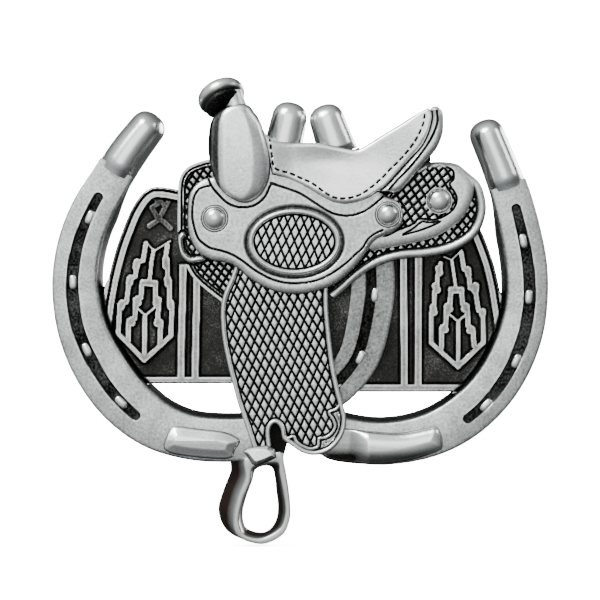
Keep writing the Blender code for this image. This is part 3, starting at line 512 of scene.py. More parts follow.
# ---- Heel caps -----------------------------------------------------------------------------
# The open ends of every shoe are thickened into round polished caps, like the calks of a real
# shoe. They are the brightest places, where the buffing wheel runs over them.


def heel_cap(name, line, inner, stop, crown, foot, finish, slant=0.0):
    """A finger: its section and its tip are the same superellipse, |x|^2.3 + |h|^2.3 = 1."""
    power = 2 / 2.3
    tip = np.linspace(math.pi / 2, 0, 22)
    straight = np.linspace(0, stop, 26)[1:]
    t = np.concatenate([0 * tip, straight])
    radius = along(line, [0.0])[0, 2]
    half = stand_on(line, t)[1]
    scale = np.concatenate([np.cos(tip) ** power, 1 + 0 * straight])
    ahead = np.concatenate([-radius * np.sin(tip) ** power, 0 * straight])
    fall = np.concatenate([0 * tip, ease((straight / stop - 0.8) / 0.2)])
    angle = np.linspace(-math.pi / 2, math.pi / 2, 57)[None, :]
    across = np.sign(angle) * np.abs(np.sin(angle)) ** power
    offsets = (half * scale)[:, None] * across
    rise = (crown - foot) * scale[:, None] - (0.55 * fall)[:, None]
    heights = foot + rise * np.abs(np.cos(angle)) ** power
    ahead = ahead[:, None] + slant * (1 - across ** 2) * np.concatenate(
        [0 * tip, straight / stop])[:, None]
    back = np.stack([offsets[:, -1] * 0.98, offsets[:, 0] * 0.98], 1)
    offsets = np.hstack([offsets, back])
    heights = np.hstack([heights, np.full(back.shape, foot)])
    ahead = np.hstack([ahead, 0 * back])
    tone = 0.92 - 0.5 * ease((1.1 - heights + foot) / 1.1) - 0.35 * fall[:, None]
    centre, _, right = stand_on(line, t)
    forward = np.stack([-right[:, 1], right[:, 0]], 1)
    flat = (centre[:, None, :] + inner * offsets[..., None] * right[:, None, :]
            + ahead[..., None] * forward[:, None, :])
    points = np.stack([flat[..., 0], -heights, flat[..., 1]], 2).reshape(-1, 3)
    return make_piece(name, points, ring_faces(*heights.shape), tone, finish, crease=70)


fit(heel_cap("left_polished_heel", LEFT_LINE, -1, 1.62, 5.4, 0.0, polished, 0.8),
    "polished_silver", "left_heel_cap")
fit(heel_cap("right_polished_heel", RIGHT_LINE, 1, 1.66, 5.4, 0.0, polished, 0.5),
    "polished_silver", "right_heel_cap")

# ---- Nail heads ----------------------------------------------------------------------------
# A small oblong nail head stands in the groove at each nail hole, cast with the shoe and
# polished on top.


def nail_head(name, place, lean, low, high, size=(0.72, 1.4)):
    """A superellipse |x|^3 + |z|^3 = 1, its rings drawn in to the middle as they rise."""
    around = np.linspace(0, math.tau, 28, endpoint=False)[None, :]
    rise = np.linspace(0, math.pi / 2, 8)[:, None]
    reach = np.vstack([[1.0], np.cos(rise[:-1]) ** 0.45, [0.0]])
    level = np.vstack([[low], low + (high - low) * (0.45 + 0.55 * np.sin(rise[:-1])), [high]])
    x = size[0] * reach * np.sign(np.cos(around)) * np.abs(np.cos(around)) ** (2 / 3)
    z = size[1] * reach * np.sign(np.sin(around)) * np.abs(np.sin(around)) ** (2 / 3)
    c, s = math.cos(lean), math.sin(lean)
    points = np.stack([place[0] + c * x - s * z, -level + 0 * x, place[1] + s * x + c * z], 2)
    tone = 0.92 - 0.5 * (reach > 0.98) + 0 * x
    return make_piece(name, points.reshape(-1, 3), ring_faces(*x.shape), tone, polished)


def lean_of(line, place):
    """The angle of a centre line, from +Z towards -X, where it passes nearest to a place."""
    t = np.linspace(0.5, len(line) - 1.5, 300)
    centre, _, right = stand_on(line, t)
    i = np.argmin(np.hypot(*(centre - place).T))
    return math.atan2(-right[i, 1], -right[i, 0])


LEFT_NAILS = [(-37.9, 16.9), (-40.9, 5.2), (-38.4, -7.0), (-32.2, -16.4)]
RIGHT_NAILS = [(40.2, 12.6), (41.2, 2.5), (38.9, -9.0), (33.5, -16.9)]
for side, line, places in (("left", LEFT_LINE, LEFT_NAILS), ("right", RIGHT_LINE, RIGHT_NAILS)):
    for number, place in enumerate(places, 1):
        head = nail_head(f"{side}_nail_head_{number}", place, lean_of(line, place), 3.0, 4.25)
        fit(head, "polished_silver", f"{side}_nail_{number}")

# ---- Toe pads ------------------------------------------------------------------------------
# The shoes' lower ends run towards the fender and end in raised pads, polished bright: the
# left one faceted by a file, the right one rounded, with its end under the fender.


def toe_pad(name, outline, spine, soft, box):
    """Height rises from the outline to a roof along the spine; soft turns the flat bevel round,
    and lets the end dip under the fender."""
    ring = curve(outline, closed=True)

    def surface(x, z, depth):
        low = ease((spine - z) / 0.5)
        bevel = np.minimum(depth / (1.7 + 0.9 * soft), 1)
        bevel += soft * (np.sqrt(bevel * (2 - bevel)) - bevel)
        roof = np.minimum(np.abs(z - spine) / 2.4, 1) * (0.4 - 0.22 * low) * (1 - soft)
        tucked_and_shaded = soft * ease((12.5 - x) / 3.9)
        height = 4.5 + 0.3 * np.sqrt(np.clip(depth / 0.3, 0, 1)) - roof - 0.35 * tucked_and_shaded
        height += (0.62 + 0.9 * soft) * bevel * (1 - tucked_and_shaded)
        # Painted shade: the tone drops below the spine, falls toward the round pad's lower edge,
        # and drops where the end tucks under the fender.
        tone = 0.8 - 0.1 * low + 0.12 * bevel - 0.55 * soft * ease((spine - 0.6 - z) / 2.2)
        return height, tone - 0.3 * tucked_and_shaded
    return relief(name, lambda x, z: within(x, z, ring), surface, 4.0, box, polished,
                  crease=22 + 30 * soft)


LEFT_PAD = [(-24.3, -25.0), (-24.1, -22.7), (-23.2, -21.1), (-22.0, -20.7), (-18.0, -21.2),
            (-14.4, -21.6), (-12.1, -22.3), (-10.8, -23.4), (-11.7, -25.0), (-13.0, -26.6),
            (-20.7, -26.1)]
RIGHT_PAD = [(6.5, -21.0), (12.6, -21.6), (18.0, -21.9), (22.5, -21.1), (24.3, -20.8),
             (25.2, -21.6), (25.7, -23.8), (25.2, -25.0), (22.5, -26.1), (19.0, -27.0),
             (13.6, -27.6), (7.5, -27.2), (4.2, -26.2), (3.2, -24.2), (4.2, -21.8)]
fit(toe_pad("left_faceted_pad", LEFT_PAD, -23.3, 0, (-25, -28, -10, -20)), "polished_silver",
    "left_toe_pad")
fit(toe_pad("right_rounded_pad", RIGHT_PAD, -23.6, 1, (2, -29, 27, -20)), "polished_silver",
    "right_toe_pad")

# ---- Centre horseshoe ----------------------------------------------------------------------
# A third shoe stands behind the saddle. Its heels show above the seat, and its right branch
# shows between the fender and the right blanket, with two nails in its groove.

CENTRE_BRANCH = [(6.5, 30.0, 3.5), (10.1, 22.1, 3.8), (12.1, 14.9, 4.0), (13.0, 8.8, 4.0),
                 (13.0, 2.0, 4.0), (11.1, -7.2, 3.8), (7.6, -12.6, 3.5), (4.5, -15.0, 3.2),
                 (1.3, -15.6, 3.0)]
CENTRE_LINE = CENTRE_BRANCH + [(2.6 - x, z, half) for x, z, half in CENTRE_BRANCH[-2::-1]]


def centre_shoe():
    """The same section as the outer shoes but thinner, with one long groove cut past the ends."""
    t = np.linspace(0.25, len(CENTRE_LINE) - 1.25, 520)
    half = stand_on(CENTRE_LINE, t)[1][:, None]
    face = np.linspace(-1, 1, 40)[None, :] * (half - 0.35)
    offsets = np.hstack([-half, -half, -half + 0.1, face, half - 0.1, half, half])
    one = np.ones_like(half)
    groove = ease((0.95 - np.abs(face - 0.35)) / 0.3)
    heights = np.hstack([1.3 * one, 2.8 * one, 3.02 * one, 3.12 - 0.85 * groove, 3.02 * one,
                         2.8 * one, 1.3 * one])
    tone = np.hstack([0.1 * one, 0.25 * one, 0.6 * one, 0.54 - 0.48 * groove, 0.6 * one,
                      0.2 * one, 0.1 * one])
    return sweep("centre_shoe", CENTRE_LINE, t, 1, offsets, heights, tone, tooled)


fit(centre_shoe(), "tooled_silver", "centre_horseshoe")
for number, place in enumerate([(13.5, 2.9), (10.9, -8.4)], 1):
    head = nail_head(f"centre_nail_head_{number}", place, lean_of(CENTRE_BRANCH, place), 2.2, 3.3)
    fit(head, "polished_silver", f"centre_nail_{number}")
fit(heel_cap("centre_left_polished_heel", [(-2.0, 34.6, 3.2), (-3.3, 28.6, 3.5)], -1, 1.0,
             4.5, 0.9, polished), "polished_silver", "centre_left_heel")
fit(heel_cap("centre_right_polished_heel", [(5.0, 34.2, 3.2), (7.0, 28.4, 3.6)], 1, 1.0,
             4.5, 0.9, polished), "polished_silver", "centre_right_heel")

# ---- Skirts --------------------------------------------------------------------------------
# The square leathers under the saddle, tooled in fine squares inside a plain border. They are
# cast over the back web, below the smooth jockey.


def crossed(x, z, families, half=0.26, soft=0.16):
    """How deep in a cut a point is, 0 to 1, and how far from the nearest cut. Each family of
    straight cuts is given by its turns per mm along x and along z, and an offset in turns."""
    gap = 9.0 + 0 * x
    for along_x, along_z, offset in families:
        turns = along_x * x + along_z * z + offset
        gap = np.minimum(gap, np.abs(turns - np.round(turns)) / math.hypot(along_x, along_z))
    return ease((half - gap) / soft), np.minimum(gap, 0.5)


def outlined(x, z, shore, stops, slope=0.14):
    """The sum of raised bands that run along a shore line, one for each pair of distances."""
    distance = off_line(x, z, shore)
    return distance, sum(band(distance, a, b, slope) for a, b in stops)


FRONT_SKIRT = [(-14.0, 1.6), (-17.1, 4.0), (-19.3, 6.1), (-20.7, 8.6), (-21.6, 11.3),
               (-22.0, 14.9), (-22.0, 19.4), (-21.8, 23.4), (-20.5, 25.7), (-18.0, 26.9),
               (-15.8, 27.4)]
front_shore = curve(FRONT_SKIRT)
front_outline = np.vstack([front_shore, [(-14.5, 30.0), (-9.2, 30.0), (-9.2, 3.8)]])
CURL = [(-21.1, 13.7), (-21.6, 13.0), (-21.5, 11.4), (-20.9, 10.1), (-19.6, 9.2), (-17.5, 9.5)]


def front_surface(x, z, depth):
    """A bound edge, a black line, squares inside, and one raised curl of a rolled border."""
    distance, raised = outlined(x, z, front_shore, ((-1, 0.55), (0.85, 1.1)))
    cut, gap = crossed(x, z, ((0.695, -0.42, -0.243), (0.66, 0.655, -0.15)))
    inside = ease((distance - 1.3) / 0.2)
    curl = off_line(x, z, curve(CURL))
    roll = np.sqrt(np.clip(1 - (curl / 0.62) ** 2, 0, 1))
    height = 3.75 + 0.5 * raised + inside * (0.35 - 0.4 * cut + 0.15 * gap)
    height = np.maximum(height - 0.5 * band(curl, -1, 0.95), 3.6 + 1.1 * roll)
    # The field inside the border is held low, near 0.47: painted shade under the overhanging
    # jockey; the cuts are darker again with oxide.
    tone = 0.25 + 0.45 * raised + inside * (0.22 - 0.5 * cut) - 0.4 * band(curl, -1, 0.95)
    return height, np.where(roll > 0.1, 0.85, tone)


fit(relief("front_skirt_tooled", lambda x, z: within(x, z, front_outline), front_surface, 1.2,
           (-23, 0, -8, 31), tooled, pitch=0.12), "tooled_silver", "front_skirt")

REAR_SKIRT = [(20.7, 25.7), (23.4, 26.8), (27.9, 26.6), (30.2, 25.0), (32.4, 23.0),
              (33.3, 20.5), (33.5, 18.0), (32.8, 15.3), (31.3, 13.1), (28.8, 11.4), (25.9, 10.3),
              (22.5, 9.7), (18.4, 9.4), (15.3, 8.6), (12.6, 7.4), (10.3, 5.8), (8.1, 3.8),
              (6.3, 2.2)]
rear_shore = curve(REAR_SKIRT)
rear_outline = np.vstack([rear_shore, [(5.0, 3.4), (10.0, 14.5), (18.0, 22.0)]])


def rear_surface(x, z, depth):
    """A rounded rolled edge, a black line, and squares on the strip that shows inside it."""
    distance = off_line(x, z, rear_shore)
    roll = np.sqrt(np.clip(1 - ((distance - 0.75) / 0.85) ** 2, 0, 1))
    cut, _ = crossed(x, z, ((0.655, -0.545, -0.261), (0.625, 0.51, 0.403)))
    inside = ease((distance - 1.75) / 0.15)
    height = 3.5 + 0.95 * roll + inside * (0.35 - 0.4 * cut)
    return height, 0.05 + 0.72 * (roll > 0.15) + inside * (0.4 - 0.6 * cut)


fit(relief("rear_skirt_tooled", lambda x, z: within(x, z, rear_outline), rear_surface, 1.2,
           (4, 1, 35, 28), tooled, pitch=0.13), "tooled_silver", "rear_skirt")

# ---- Rear jockey ---------------------------------------------------------------------------
# The round leather behind the seat: a smooth band round its edge, fine squares inside, and a
# leaf tooled along the foot of the squares.

REAR_JOCKEY = [(18.9, 23.6), (22.5, 26.3), (27.5, 26.3), (29.5, 25.2), (31.1, 23.4),
               (31.3, 21.6), (30.6, 19.1), (29.2, 16.7), (27.0, 14.8), (23.8, 13.1), (19.8, 12.1),
               (16.2, 11.4), (13.0, 10.8)]
jockey_shore = curve(REAR_JOCKEY)
rear_jockey_outline = np.vstack([jockey_shore, [(11.0, 12.6), (15.0, 20.0)]])
FIELD = [(22.7, 26.5), (24.9, 26.4), (27.0, 25.6), (27.6, 24.9), (27.6, 23.7), (26.9, 22.8),
         (27.8, 21.3), (28.2, 20.1), (27.8, 18.7), (26.5, 17.4), (24.2, 16.4), (21.5, 16.6),
         (20.3, 15.6), (17.7, 14.6), (15.1, 13.5), (14.4, 15.5), (16.4, 20.9), (20.2, 24.5)]
LEAF = [(18.6, 13.8), (20.3, 14.8), (21.9, 16.0), (23.4, 15.9), (25.2, 16.1), (23.9, 15.4),
        (21.6, 14.5), (19.0, 13.8)]
field_ring, leaf_ring = curve(FIELD, closed=True), curve(LEAF, closed=True)


def rear_jockey_surface(x, z, depth):
    """Squares in a sunk field, a black line round it and round the leaf, and a rolled edge."""
    field, leaf = within(x, z, field_ring), within(x, z, leaf_ring)
    cut, gap = crossed(x, z, ((0.585, -0.61, -0.362), (0.605, 0.365, -0.138)))
    inside = ease(field / 0.2 + 0.5)
    line = np.maximum(band(field, -0.16, 0.16, 0.12), band(leaf, -0.16, 0.16, 0.12))
    edge = np.clip(off_line(x, z, jockey_shore) / 1.6, 0, 1)
    height = 4.35 + 0.62 * np.sqrt(edge * (2 - edge)) - 0.3 * line
    height += inside * (0.2 * gap - 0.1 - 0.38 * cut)
    return height, 0.86 - 0.75 * line + inside * (-0.14 - 0.62 * cut)


fit(relief("rear_jockey_tooled", lambda x, z: within(x, z, rear_jockey_outline),
           rear_jockey_surface, 3.3, (10, 9, 32, 28), tooled, pitch=0.12), "tooled_silver",
    "rear_jockey")

# ---- Fender --------------------------------------------------------------------------------
# The long leather that covers the stirrup strap, tooled all over in small diamonds, with a
# rolled edge, a keyhole for the strap, and a scroll round its rear corner.

FENDER = [(-10.8, 11.9), (-11.5, 8.8), (-12.6, 5.6), (-13.7, 3.1), (-14.2, 0.7), (-14.2, -2.0),
          (-13.9, -5.2), (-13.1, -9.2), (-12.2, -12.8), (-11.2, -16.6), (-9.9, -20.3),
          (-8.5, -24.5)]
KEYHOLE = [(-5.15, -24.3), (-5.35, -22.7), (-5.35, -21.4), (-5.05, -20.6), (-4.5, -20.2),
           (-3.9, -20.5), (-3.45, -21.4), (-3.3, -22.5), (-2.97, -23.2)]
FENDER_TOE = [(-2.97, -23.2), (-1.4, -24.3), (0.5, -25.5), (2.7, -25.9), (5.0, -25.3),
              (6.8, -23.8), (8.0, -21.6), (8.3, -19.1), (7.7, -16.6), (7.0, -13.9), (6.3, -10.6),
              (5.8, -7.0), (5.4, -3.4), (5.1, 0.2), (5.0, 3.8), (5.0, 7.7), (4.7, 11.9)]
SCROLL = [(7.2, -16.7), (6.5, -17.6), (5.2, -18.2), (5.9, -19.4), (6.3, -20.7), (5.6, -22.0),
          (4.5, -22.7), (3.4, -22.9), (3.2, -24.3), (1.8, -24.7), (0.2, -24.1), (-0.7, -23.4),
          (-1.1, -22.5), (-2.3, -22.9)]
fender_outline = np.vstack([curve(FENDER), curve(KEYHOLE), curve(FENDER_TOE)[1:]])
fender_shore = curve(FENDER_TOE)


def fender_surface(x, z, depth):
    """Diamonds are low pyramids 1.4 mm across between black cuts; the edge is a half round."""
    cut, near = crossed(x, z, ((0.62, 0.4, 0.22), (0.68, -0.286, 0.01)), 0.21, 0.15)
    edge = np.minimum(off_line(x, z, curve(FENDER)), off_line(x, z, curve(KEYHOLE)))
    edge = np.minimum(edge, off_line(x, z, fender_shore))
    scroll = off_line(x, z, curve(SCROLL, steps=3))
    corner = within(x, z, np.vstack([curve(SCROLL, steps=3), curve(FENDER_TOE[:10])]))
    in_corner = ease(corner / 0.15 + 0.5)
    roll = np.sqrt(np.clip(1 - ((edge - 0.4) / 0.5) ** 2, 0, 1))
    line = np.sqrt(np.clip(1 - (scroll / 0.3) ** 2, 0, 1))
    inner = np.sqrt(np.clip(1 - ((corner - 1.25) / 0.26) ** 2, 0, 1)) * (corner > 0)
    field = 5.1 - 0.42 * cut + 0.16 * near - 0.25 * ease((1.2 - edge) / 0.2)
    height = field * (1 - in_corner) + 4.95 * in_corner
    tone = (0.78 - 0.8 * cut) * (1 - in_corner) + 0.62 * in_corner
    dark = np.maximum(band(edge, 0.85, 1.08, 0.1), band(scroll, 0.3, 0.52, 0.1))
    height = np.maximum(height - 0.3 * dark, 4.75 + 0.65 * np.maximum.reduce(
        [roll, 0.9 * line, 0.8 * inner]))
    tone = np.maximum(tone - dark, 0.86 * np.maximum.reduce([roll > 0.25, line > 0.3,
                                                             inner > 0.4]))
    return height, tone


fit(relief("fender_tooled", lambda x, z: within(x, z, fender_outline), fender_surface, 4.3,
           (-15, -27, 9, 13), tooled, pitch=0.12, buff=3.0), "tooled_silver", "fender")

# ---- Seat jockey ---------------------------------------------------------------------------
# The smooth leather that lies over the skirts and the fender, with a rolled edge outside one
# engraved line, a sunk ring round the oval, and cups for two conchos.

JOCKEY = [(-16.0, 24.0), (-17.5, 23.6), (-19.1, 22.3), (-20.0, 20.5), (-20.2, 17.8),
          (-20.2, 14.9), (-19.4, 12.2), (-18.0, 10.3), (-15.8, 9.1), (-13.3, 8.7), (-11.2, 7.7),
          (-9.0, 5.8), (-5.8, 4.0), (-2.7, 3.2), (0.4, 3.1), (3.6, 3.8), (6.5, 5.0), (9.2, 7.2),
          (11.2, 9.5), (12.6, 11.7), (14.0, 13.1), (16.4, 14.0), (18.0, 15.3), (18.5, 17.1),
          (18.0, 19.1), (16.6, 20.3), (15.1, 20.9)]
SEAT_LINE = [(-5.0, 24.4), (-1.8, 23.5), (1.4, 22.0), (4.5, 20.2), (6.8, 19.3), (9.0, 19.3),
             (11.7, 19.9), (14.0, 21.2)]
jockey_outline = np.vstack([curve(JOCKEY), [(12.0, 22.0), (5.0, 22.5), (-3.0, 26.0), (-8.0, 26.0),
                                            (-14.0, 26.0)]])
jockey_edge = curve(JOCKEY)
JOCKEY_LINE = [(-16.0, 22.5), (-17.6, 22.1), (-18.5, 21.4), (-19.1, 20.0), (-19.3, 17.8),
               (-19.2, 16.0), (-18.4, 13.3), (-17.3, 12.1), (-16.0, 11.3), (-14.0, 10.8),
               (-12.1, 10.1), (-10.3, 9.0), (-8.6, 7.7), (-7.0, 6.7), (-5.0, 5.7), (-2.7, 5.1),
               (-0.4, 5.0), (2.2, 5.3), (4.5, 6.1), (6.8, 7.5), (8.6, 8.9), (10.1, 10.3),
               (11.2, 11.3), (12.2, 12.9), (13.5, 13.9), (14.8, 14.5)]
SCALLOP = [(-16.4, 23.6), (-15.8, 22.3), (-14.8, 21.1), (-13.3, 19.6), (-11.7, 18.8),
           (-10.1, 18.6), (-8.1, 19.0), (-6.3, 20.5), (-5.2, 22.7), (-4.3, 22.7)]
TOP_LINE = [(-5.2, 22.9), (-2.7, 22.1), (0.0, 21.1), (2.7, 19.4), (4.9, 18.0), (6.3, 17.4),
            (8.1, 17.1), (9.9, 17.3), (11.7, 18.0), (13.5, 19.3), (14.9, 20.5)]
OVAL_AT, OVAL_SIZE = (-1.0, 12.4), (8.3, 5.95)


def off_oval(x, z, size):
    """Nearly the distance inside an ellipse: its radius less one, over the slope of the radius."""
    u, v = (x - OVAL_AT[0]) / size[0], (z - OVAL_AT[1]) / size[1]
    radius = np.sqrt(u * u + v * v) + 1e-6
    return (1 - radius) * radius / np.sqrt((u / size[0]) ** 2 + (v / size[1]) ** 2 + 1e-9)


def off_disc(x, z, place):
    """Distance from the middle of a concho."""
    return np.hypot(x - place[0], z - place[1])


CONCHOS = {"front": ((-15.3, 16.6), 2.3), "middle": ((15.8, 17.3), 2.2),
           "rear": ((25.0, 19.8), 2.4)}


def jockey_surface(x, z, depth):
    """6.3 mm high with a half-round edge; lines are cut 0.3 mm wide; rings sink round the oval."""
    lines = [curve(JOCKEY_LINE), curve(SCALLOP), curve(TOP_LINE)]
    cut = np.maximum.reduce([band(off_line(x, z, line), -1, 0.17, 0.16) for line in lines])
    edge = off_line(x, z, jockey_edge)
    roll = np.sqrt(np.clip(1 - (np.minimum(edge, 1.2) / 1.2 - 1) ** 2, 0, 1))
    oval = -off_oval(x, z, OVAL_SIZE)
    moat = ease((0.95 - oval) / 0.7)
    cups = np.maximum.reduce([
        band(off_disc(x, z, place), -1, radius + 0.1, 0.3)
        for place, radius in (CONCHOS["front"], CONCHOS["middle"])])
    height = 5.75 + 0.75 * roll - 0.34 * cut - 0.5 * moat - 0.35 * cups
    tone = 0.8 - 0.75 * cut - 0.42 * moat - 0.5 * cups - 0.3 * (1 - roll)
    return height, tone


fit(relief("seat_jockey_smooth", lambda x, z: within(x, z, jockey_outline), jockey_surface, 5.0,
           (-21, 2.5, 19.5, 27), antique, pitch=0.13), "antique_silver", "seat_jockey")

# ---- Oval plaque ---------------------------------------------------------------------------
# An oval set in the jockey: a rounded rim, a black line, and a flat field cut into diamonds.


def oval_surface(x, z, depth):
    """A half-round rim 0.9 mm wide, a groove, then diamonds 1.4 mm across, flat on top."""
    cut, _ = crossed(x, z, ((0.68, 0.26, 0.417), (0.66, -0.365, 0.245)), 0.22, 0.15)
    rim = np.sqrt(np.clip(1 - ((depth - 0.5) / 0.55) ** 2, 0, 1))
    groove = band(depth, 1.0, 1.25, 0.12)
    inside = ease((depth - 1.15) / 0.1)
    height = 6.25 + 0.85 * rim * (depth < 1.05) - 0.1 * groove + inside * (0.5 - 0.36 * cut)
    tone = 0.92 * (rim > 0.3) * (1 - inside) + inside * (0.9 - 0.9 * cut) - 0.9 * groove
    return height, tone


fit(relief("oval_engraved", lambda x, z: off_oval(x, z, OVAL_SIZE), oval_surface, 5.4,
           (-10, 6, 8, 19), tooled, pitch=0.1), "tooled_silver", "oval_plaque")

# ---- Conchos -------------------------------------------------------------------------------
# Round domed studs that pin the leathers: two on the jockey and one on the rear jockey.


def turned(name, middle, profile, tone, finish, count=56):
    """A profile of (radius, height) turned about an axis that points out of the face."""
    around = np.linspace(0, math.tau, count, endpoint=False)[None, :]
    radius, height = (np.array(column)[:, None] for column in zip(*profile))
    points = np.stack([middle[0] + radius * np.cos(around), -height + 0 * around,
                       middle[1] + radius * np.sin(around)], 2)
    shade = np.array(tone)[:, None] + 0 * around
    return make_piece(name, points.reshape(-1, 3), ring_faces(len(profile), count), shade, finish)


def concho(name, middle, radius, low, high):
    """A thin collar, a fine groove, then a dome whose height is a power of a cosine."""
    inner = radius - 0.3
    collar = [(radius, low)] + [(radius - 0.1 + 0.1 * math.cos(a), low + 0.3 + 0.1 * math.sin(a))
                                for a in np.linspace(0, math.pi / 2, 6)]
    groove = [(inner + 0.08, low + 0.38), (inner, low + 0.26)]
    dome = [(inner * math.sin(a), low + 0.3 + (high - low - 0.3) * math.cos(a) ** 0.8)
            for a in np.linspace(math.pi / 2 - 0.05, 0, 18)]
    profile = [(0.0, low)] + collar + groove + dome
    profile[-1] = (0.0, high)
    tone = [0.1, 0.1] + [0.75] * 6 + [0.3, 0.05] + [0.3, 0.7] + [0.92] * 16
    return turned(name, middle, profile, tone, polished)


for name, low, high in (("front", 5.9, 7.9), ("middle", 5.9, 7.9), ("rear", 4.7, 6.8)):
    middle, radius = CONCHOS[name]
    fit(concho(f"{name}_concho_domed", middle, radius, low, high), "polished_silver",
        f"{name}_concho")

# ---- Seat ----------------------------------------------------------------------------------
# The padded seat, dished for the rider and rising to the cantle, with a row of stitches inside
# its edge and a line round its skirt.

SEAT_TOP = [(-6.9, 33.2), (-6.0, 31.6), (-4.4, 30.6), (-2.0, 30.2), (0.6, 30.2), (3.6, 30.1),
            (7.2, 29.4), (10.3, 29.0), (12.6, 30.2), (15.3, 31.9), (18.0, 33.5), (20.7, 35.2),
            (22.9, 36.4)]
CANTLE_LINE = [(23.6, 35.6), (23.6, 34.4), (23.0, 32.0), (21.8, 29.5), (19.8, 27.2), (17.5, 24.5),
               (15.5, 22.3), (14.2, 21.4)]
STITCHES = [(-5.4, 30.8), (-5.2, 29.0), (-5.0, 27.5), (-4.8, 26.1), (-4.0, 25.3), (-1.8, 24.7),
            (0.0, 23.9), (2.2, 22.9), (4.5, 21.2), (6.3, 20.3), (8.1, 20.2), (9.9, 20.5),
            (11.7, 21.4), (14.0, 23.2), (16.2, 25.4), (18.0, 27.2), (19.8, 29.3), (21.2, 31.5),
            (22.1, 33.7), (22.3, 35.3)]
SEAT_BORDER = [(-6.5, 24.8), (-5.2, 24.5), (-2.7, 23.8), (0.0, 22.5), (2.7, 20.9), (4.9, 19.6),
               (6.8, 19.1), (8.5, 18.9), (10.3, 19.3), (12.2, 20.2), (14.0, 21.4)]
seat_outline = np.vstack([curve(SEAT_TOP), curve(CANTLE_LINE), curve(SEAT_LINE)[::-1]])


def seat_surface(x, z, depth):
    """A dish: high at the front and at the cantle, hollow between, rolled down at its edges."""
    stitch_line = curve(STITCHES, steps=8)
    run = np.concatenate([[0], np.cumsum(np.hypot(*np.diff(stitch_line, axis=0).T))])
    gap = np.full(x.shape, 1e9)
    place = np.zeros(x.shape)
    for (ax, az), (bx, bz), start in zip(stitch_line[:-1], stitch_line[1:], run):
        dx, dz = bx - ax, bz - az
        t = np.clip(((x - ax) * dx + (z - az) * dz) / (dx * dx + dz * dz), 0, 1)
        distance = np.hypot(x - ax - t * dx, z - az - t * dz)
        place = np.where(distance < gap, start + t * math.hypot(dx, dz), place)
        gap = np.minimum(gap, distance)
    dash = band(np.abs(place / 1.45 - np.round(place / 1.45)), -1, 0.31, 0.08)
    stitch = band(gap, -1, 0.15, 0.12) * dash
    border = band(off_line(x, z, curve(SEAT_BORDER)), -1, 0.19, 0.15)
    slope = 0.62 * (x - 9.0) + 0.45 * (z - 29.0)
    dish = 0.9 * np.exp(-((x - 4.5) / 7.5) ** 2 - ((z - 26.5) / 3.4) ** 2)
    rise = 1.0 * ease((slope - 2.0) / 9.0) + 0.5 * ease((-x - 1) / 6)
    roll = np.sqrt(np.clip(depth / 0.8, 0, 1) * (2 - np.clip(depth / 0.8, 0, 1)))
    height = 6.5 + 0.75 * roll - dish + rise - 0.3 * stitch - 0.34 * border
    tone = 0.98 - 0.95 * stitch - 0.92 * border - 0.4 * ease((0.3 - depth) / 0.3)
    return np.minimum(height, 8.1), tone


fit(relief("seat_dished", lambda x, z: within(x, z, seat_outline), seat_surface, 3.4,
           (-8, 18, 25, 38), bright, pitch=0.12), "antique_silver", "seat")

# ---- Cantle roll ---------------------------------------------------------------------------
# The raised back of the seat ends in a thick bound roll, with two lines along its face.

ROLL = [(23.0, 35.8), (23.6, 36.5), (24.1, 36.7), (24.8, 36.5), (25.6, 35.6), (25.7, 34.2),
        (25.6, 32.0), (24.7, 29.5), (23.2, 27.5), (21.2, 25.2), (19.4, 23.0), (18.0, 21.6),
        (16.9, 21.1), (15.8, 21.4), (14.2, 21.4)]
roll_outline = np.vstack([curve(ROLL), curve(CANTLE_LINE)[::-1]])
ROLL_LINE = [(24.5, 35.8), (24.5, 33.5), (23.4, 30.8), (21.6, 28.1), (19.8, 25.9), (17.6, 23.6),
             (16.0, 21.8)]


def roll_surface(x, z, depth):
    """A half round across the band, with one black line along it."""
    bulge = np.clip(depth / 1.1, 0, 1)
    line = band(off_line(x, z, curve(ROLL_LINE)), -1, 0.19, 0.15)
    height = 7.2 + 1.1 * np.sqrt(bulge * (2 - bulge)) - 0.4 * line
    return height, 0.84 - 0.8 * line - 0.5 * ease((0.25 - depth) / 0.25)


fit(relief("cantle_rolled", lambda x, z: within(x, z, roll_outline), roll_surface, 3.4,
           (12, 20, 27, 38), antique, pitch=0.11), "antique_silver", "cantle_roll")

# ---- Fork swell ----------------------------------------------------------------------------
# The fork at the front of the saddle: a tall swelled pad that stands higher than everything
# else, with a wall at its left painted black as shade and a smooth slope down to the seat.

FORK = [(-14.9, 35.5), (-16.0, 34.0), (-16.4, 31.7), (-16.5, 29.0), (-16.2, 26.6), (-15.5, 24.1),
        (-14.6, 22.3), (-13.1, 20.8), (-11.3, 19.7), (-9.5, 19.4), (-7.7, 20.2), (-6.3, 21.8),
        (-5.4, 24.3), (-5.4, 27.2), (-5.9, 29.9), (-6.5, 32.0), (-7.0, 33.8), (-8.1, 35.6),
        (-9.5, 37.0), (-12.4, 36.9)]
fork_ring = curve(FORK, closed=True)
PAD = [(-11.5, 36.7), (-13.0, 36.2), (-13.9, 34.9), (-14.4, 32.6), (-14.5, 27.2), (-14.3, 23.2),
       (-13.7, 21.1), (-12.2, 19.7), (-10.3, 19.3), (-8.3, 20.1), (-6.9, 21.7), (-6.4, 24.3),
       (-6.3, 27.4), (-6.7, 30.6), (-7.5, 32.9), (-8.6, 34.9), (-9.9, 36.4)]
pad_ring = curve(PAD, closed=True)


